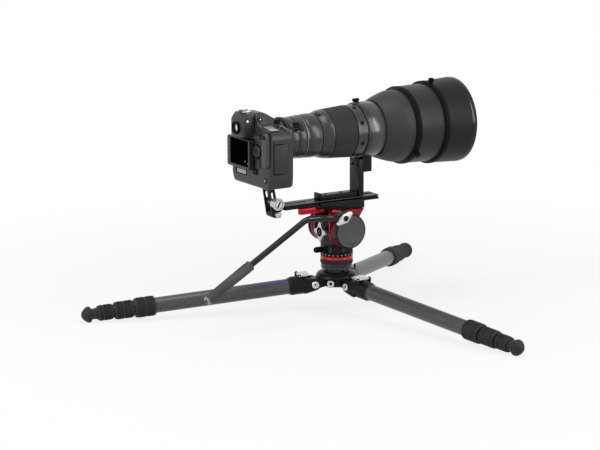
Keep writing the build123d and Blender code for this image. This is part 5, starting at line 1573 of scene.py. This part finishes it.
class RIG_OT_stage(bpy.types.Operator):
    """Pale floor, soft lights, white surroundings and the camera"""

    bl_idname = "rig.stage"
    bl_label = "Studio Stage"

    def execute(self, context):
        settings = context.scene.rig_stage
        aim = Vector(settings.aim)
        self.lay_floor()
        self.paint_surroundings(context.scene, settings.sky)
        lights = (
            ("key_softbox", -84, 26, settings.key_power, (0.6, 1.8)),
            ("fill_softbox", 31, 26, settings.fill_power, (0.36, 2.0)),
            ("top_softbox", -20, 82, settings.top_power, (0.7, 1.4)),
        )
        for name, azimuth, elevation, power, size in lights:
            lamp = bpy.data.lights.new(name, "AREA")
            lamp.energy = power
            lamp.shape = "RECTANGLE"
            lamp.size, lamp.size_y = size
            box = self.stood_off(name, lamp, aim, radians(azimuth), radians(elevation), LIGHT_DISTANCE)
            box.visible_camera = False
        lens = bpy.data.cameras.new("photo_camera")
        lens.lens = settings.focal_length
        lens.sensor_width = SENSOR_WIDTH
        lens.clip_end = VIEW_END
        context.scene.camera = self.stood_off(
            "photo_camera", lens, aim, settings.azimuth, settings.elevation, settings.distance)
        context.scene.view_settings.view_transform = "Standard"
        return {"FINISHED"}

    @staticmethod
    def stood_off(name, data, aim, azimuth, elevation, distance):
        """New lamp or camera that looks at a point from a distance."""
        made = linked(name, data)
        back = Vector((sin(azimuth) * cos(elevation), -cos(azimuth) * cos(elevation), sin(elevation)))
        made.location = aim + back * distance
        made.rotation_euler = (-back).to_track_quat("-Z", "Y").to_euler()
        return made

    @staticmethod
    def open_rays(owner):
        """One where the ray comes from the camera, a reflection or glass, else nought."""
        path = node(owner, "ShaderNodeLightPath").outputs
        seen = maths(owner, "MAXIMUM", path["Is Camera Ray"], path["Is Glossy Ray"])
        return maths(owner, "MAXIMUM", seen, path["Is Transmission Ray"])

    @staticmethod
    def mix_shaders(owner, amount, first, second, output):
        """Mix two shaders by an output and send the result to the surface."""
        mix = node(owner, "ShaderNodeMixShader")
        for source, target in zip((amount, first.outputs[0], second.outputs[0]), mix.inputs):
            wire(owner, source, target)
        wire(owner, mix.outputs[0], owner.node_tree.nodes[output].inputs["Surface"])

    def lay_floor(self):
        """Round pale floor just under the feet, white away from the object."""
        shape = bmesh.new()
        bmesh.ops.create_circle(shape, cap_ends=True, segments=96, radius=FLOOR_RADIUS)
        bmesh.ops.translate(shape, vec=(0, 0, -FLOOR_DROP), verts=shape.verts)
        mesh = bpy.data.meshes.new("studio_floor")
        shape.to_mesh(mesh)
        shape.free()
        paper = bpy.data.materials.new("white_paper")
        paper.use_nodes = True
        shader = main_shader(paper)
        shader.inputs["Base Color"].default_value = (0.86, 0.86, 0.86, 1)
        shader.inputs["Roughness"].default_value = 0.9
        shader.inputs["Specular IOR Level"].default_value = 0.1
        glow = node(paper, "ShaderNodeEmission")
        place = node(paper, "ShaderNodeTexCoord")
        reach = node(paper, "ShaderNodeVectorMath")
        reach.operation = "LENGTH"
        fade = node(paper, "ShaderNodeMapRange", **FLOOR_FADE)
        wire(paper, place.outputs["Object"], reach.inputs[0])
        wire(paper, reach.outputs["Value"], fade.inputs["Value"])
        amount = maths(paper, "MULTIPLY", fade.outputs["Result"], self.open_rays(paper))
        self.mix_shaders(paper, amount, shader, glow, "Material Output")
        mesh.materials.append(paper)
        linked("studio_floor", mesh)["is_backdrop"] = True

    def paint_surroundings(self, scene, sky):
        """Even light on the object, and plain white where the camera, reflections and glass look past it."""
        world = bpy.data.worlds.new("white_studio")
        world.use_nodes = True
        even = world.node_tree.nodes["Background"]
        white = node(world, "ShaderNodeBackground")
        for light, strength in ((even, sky), (white, 1)):
            light.inputs["Color"].default_value = (1, 1, 1, 1)
            light.inputs["Strength"].default_value = strength
        self.mix_shaders(world, self.open_rays(world), even, white, "World Output")
        scene.world = world


PIECES = (
    RIG_OT_finishes, RIG_OT_hub, RIG_OT_legs, RIG_OT_locks, RIG_OT_head_base, RIG_OT_pan_column,
    RIG_OT_lock_knobs, RIG_OT_tilt_head, RIG_OT_pan_bar, RIG_OT_plate, RIG_OT_lens_foot, RIG_OT_support_arm,
    RIG_OT_lens_barrel, RIG_OT_focus_ring, RIG_OT_lens_knobs, RIG_OT_hood, RIG_OT_camera_shell,
    RIG_OT_camera_back, RIG_OT_camera_controls, RIG_OT_screens, RIG_OT_eyepiece, RIG_OT_stage,
)


class RIG_PT_panel(bpy.types.Panel):
    """Colours, details and pieces of the camera rig"""

    bl_idname = "RIG_PT_panel"
    bl_label = "Camera Rig"
    bl_space_type = "VIEW_3D"
    bl_region_type = "UI"
    bl_category = "Camera Rig"

    def draw(self, context):
        layout = self.layout
        for group in (context.scene.rig_colours, context.scene.rig_details, context.scene.rig_stage):
            column = layout.box().column()
            for key in group.bl_rna.properties.keys():
                if key not in ("rna_type", "name"):
                    column.prop(group, key)
        column = layout.column(align=True)
        for piece in PIECES:
            column.operator(piece.bl_idname)


CLASSES = (RigColours, RigDetails, StageSettings, *PIECES, RIG_PT_panel)


def register():
    """Register every class and hang the settings on the scene."""
    for entry in CLASSES:
        bpy.utils.register_class(entry)
    bpy.types.Scene.rig_colours = PointerProperty(type=RigColours)
    bpy.types.Scene.rig_details = PointerProperty(type=RigDetails)
    bpy.types.Scene.rig_stage = PointerProperty(type=StageSettings)


def unregister():
    """Take the settings off the scene and unregister every class."""
    del bpy.types.Scene.rig_stage
    del bpy.types.Scene.rig_details
    del bpy.types.Scene.rig_colours
    for entry in reversed(CLASSES):
        bpy.utils.unregister_class(entry)


def main():
    """Build every piece in order."""
    register()
    bpy.ops.rig.finishes()
    bpy.ops.rig.hub()
    bpy.ops.rig.legs()
    bpy.ops.rig.locks()
    bpy.ops.rig.head_base()
    bpy.ops.rig.pan_column()
    bpy.ops.rig.lock_knobs()
    bpy.ops.rig.tilt_head()
    bpy.ops.rig.pan_bar()
    bpy.ops.rig.plate()
    bpy.ops.rig.lens_foot()
    bpy.ops.rig.support_arm()
    bpy.ops.rig.lens_barrel()
    bpy.ops.rig.focus_ring()
    bpy.ops.rig.lens_knobs()
    bpy.ops.rig.hood()
    bpy.ops.rig.camera_shell()
    bpy.ops.rig.camera_back()
    bpy.ops.rig.camera_controls()
    bpy.ops.rig.screens()
    bpy.ops.rig.eyepiece()
    bpy.ops.rig.stage()
    boxes = {"cad": cad_box, "visual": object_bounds()}
    {name: [list(low), list(high)] for name, (low, high) in boxes.items()}


if __name__ == "__main__":
    main()
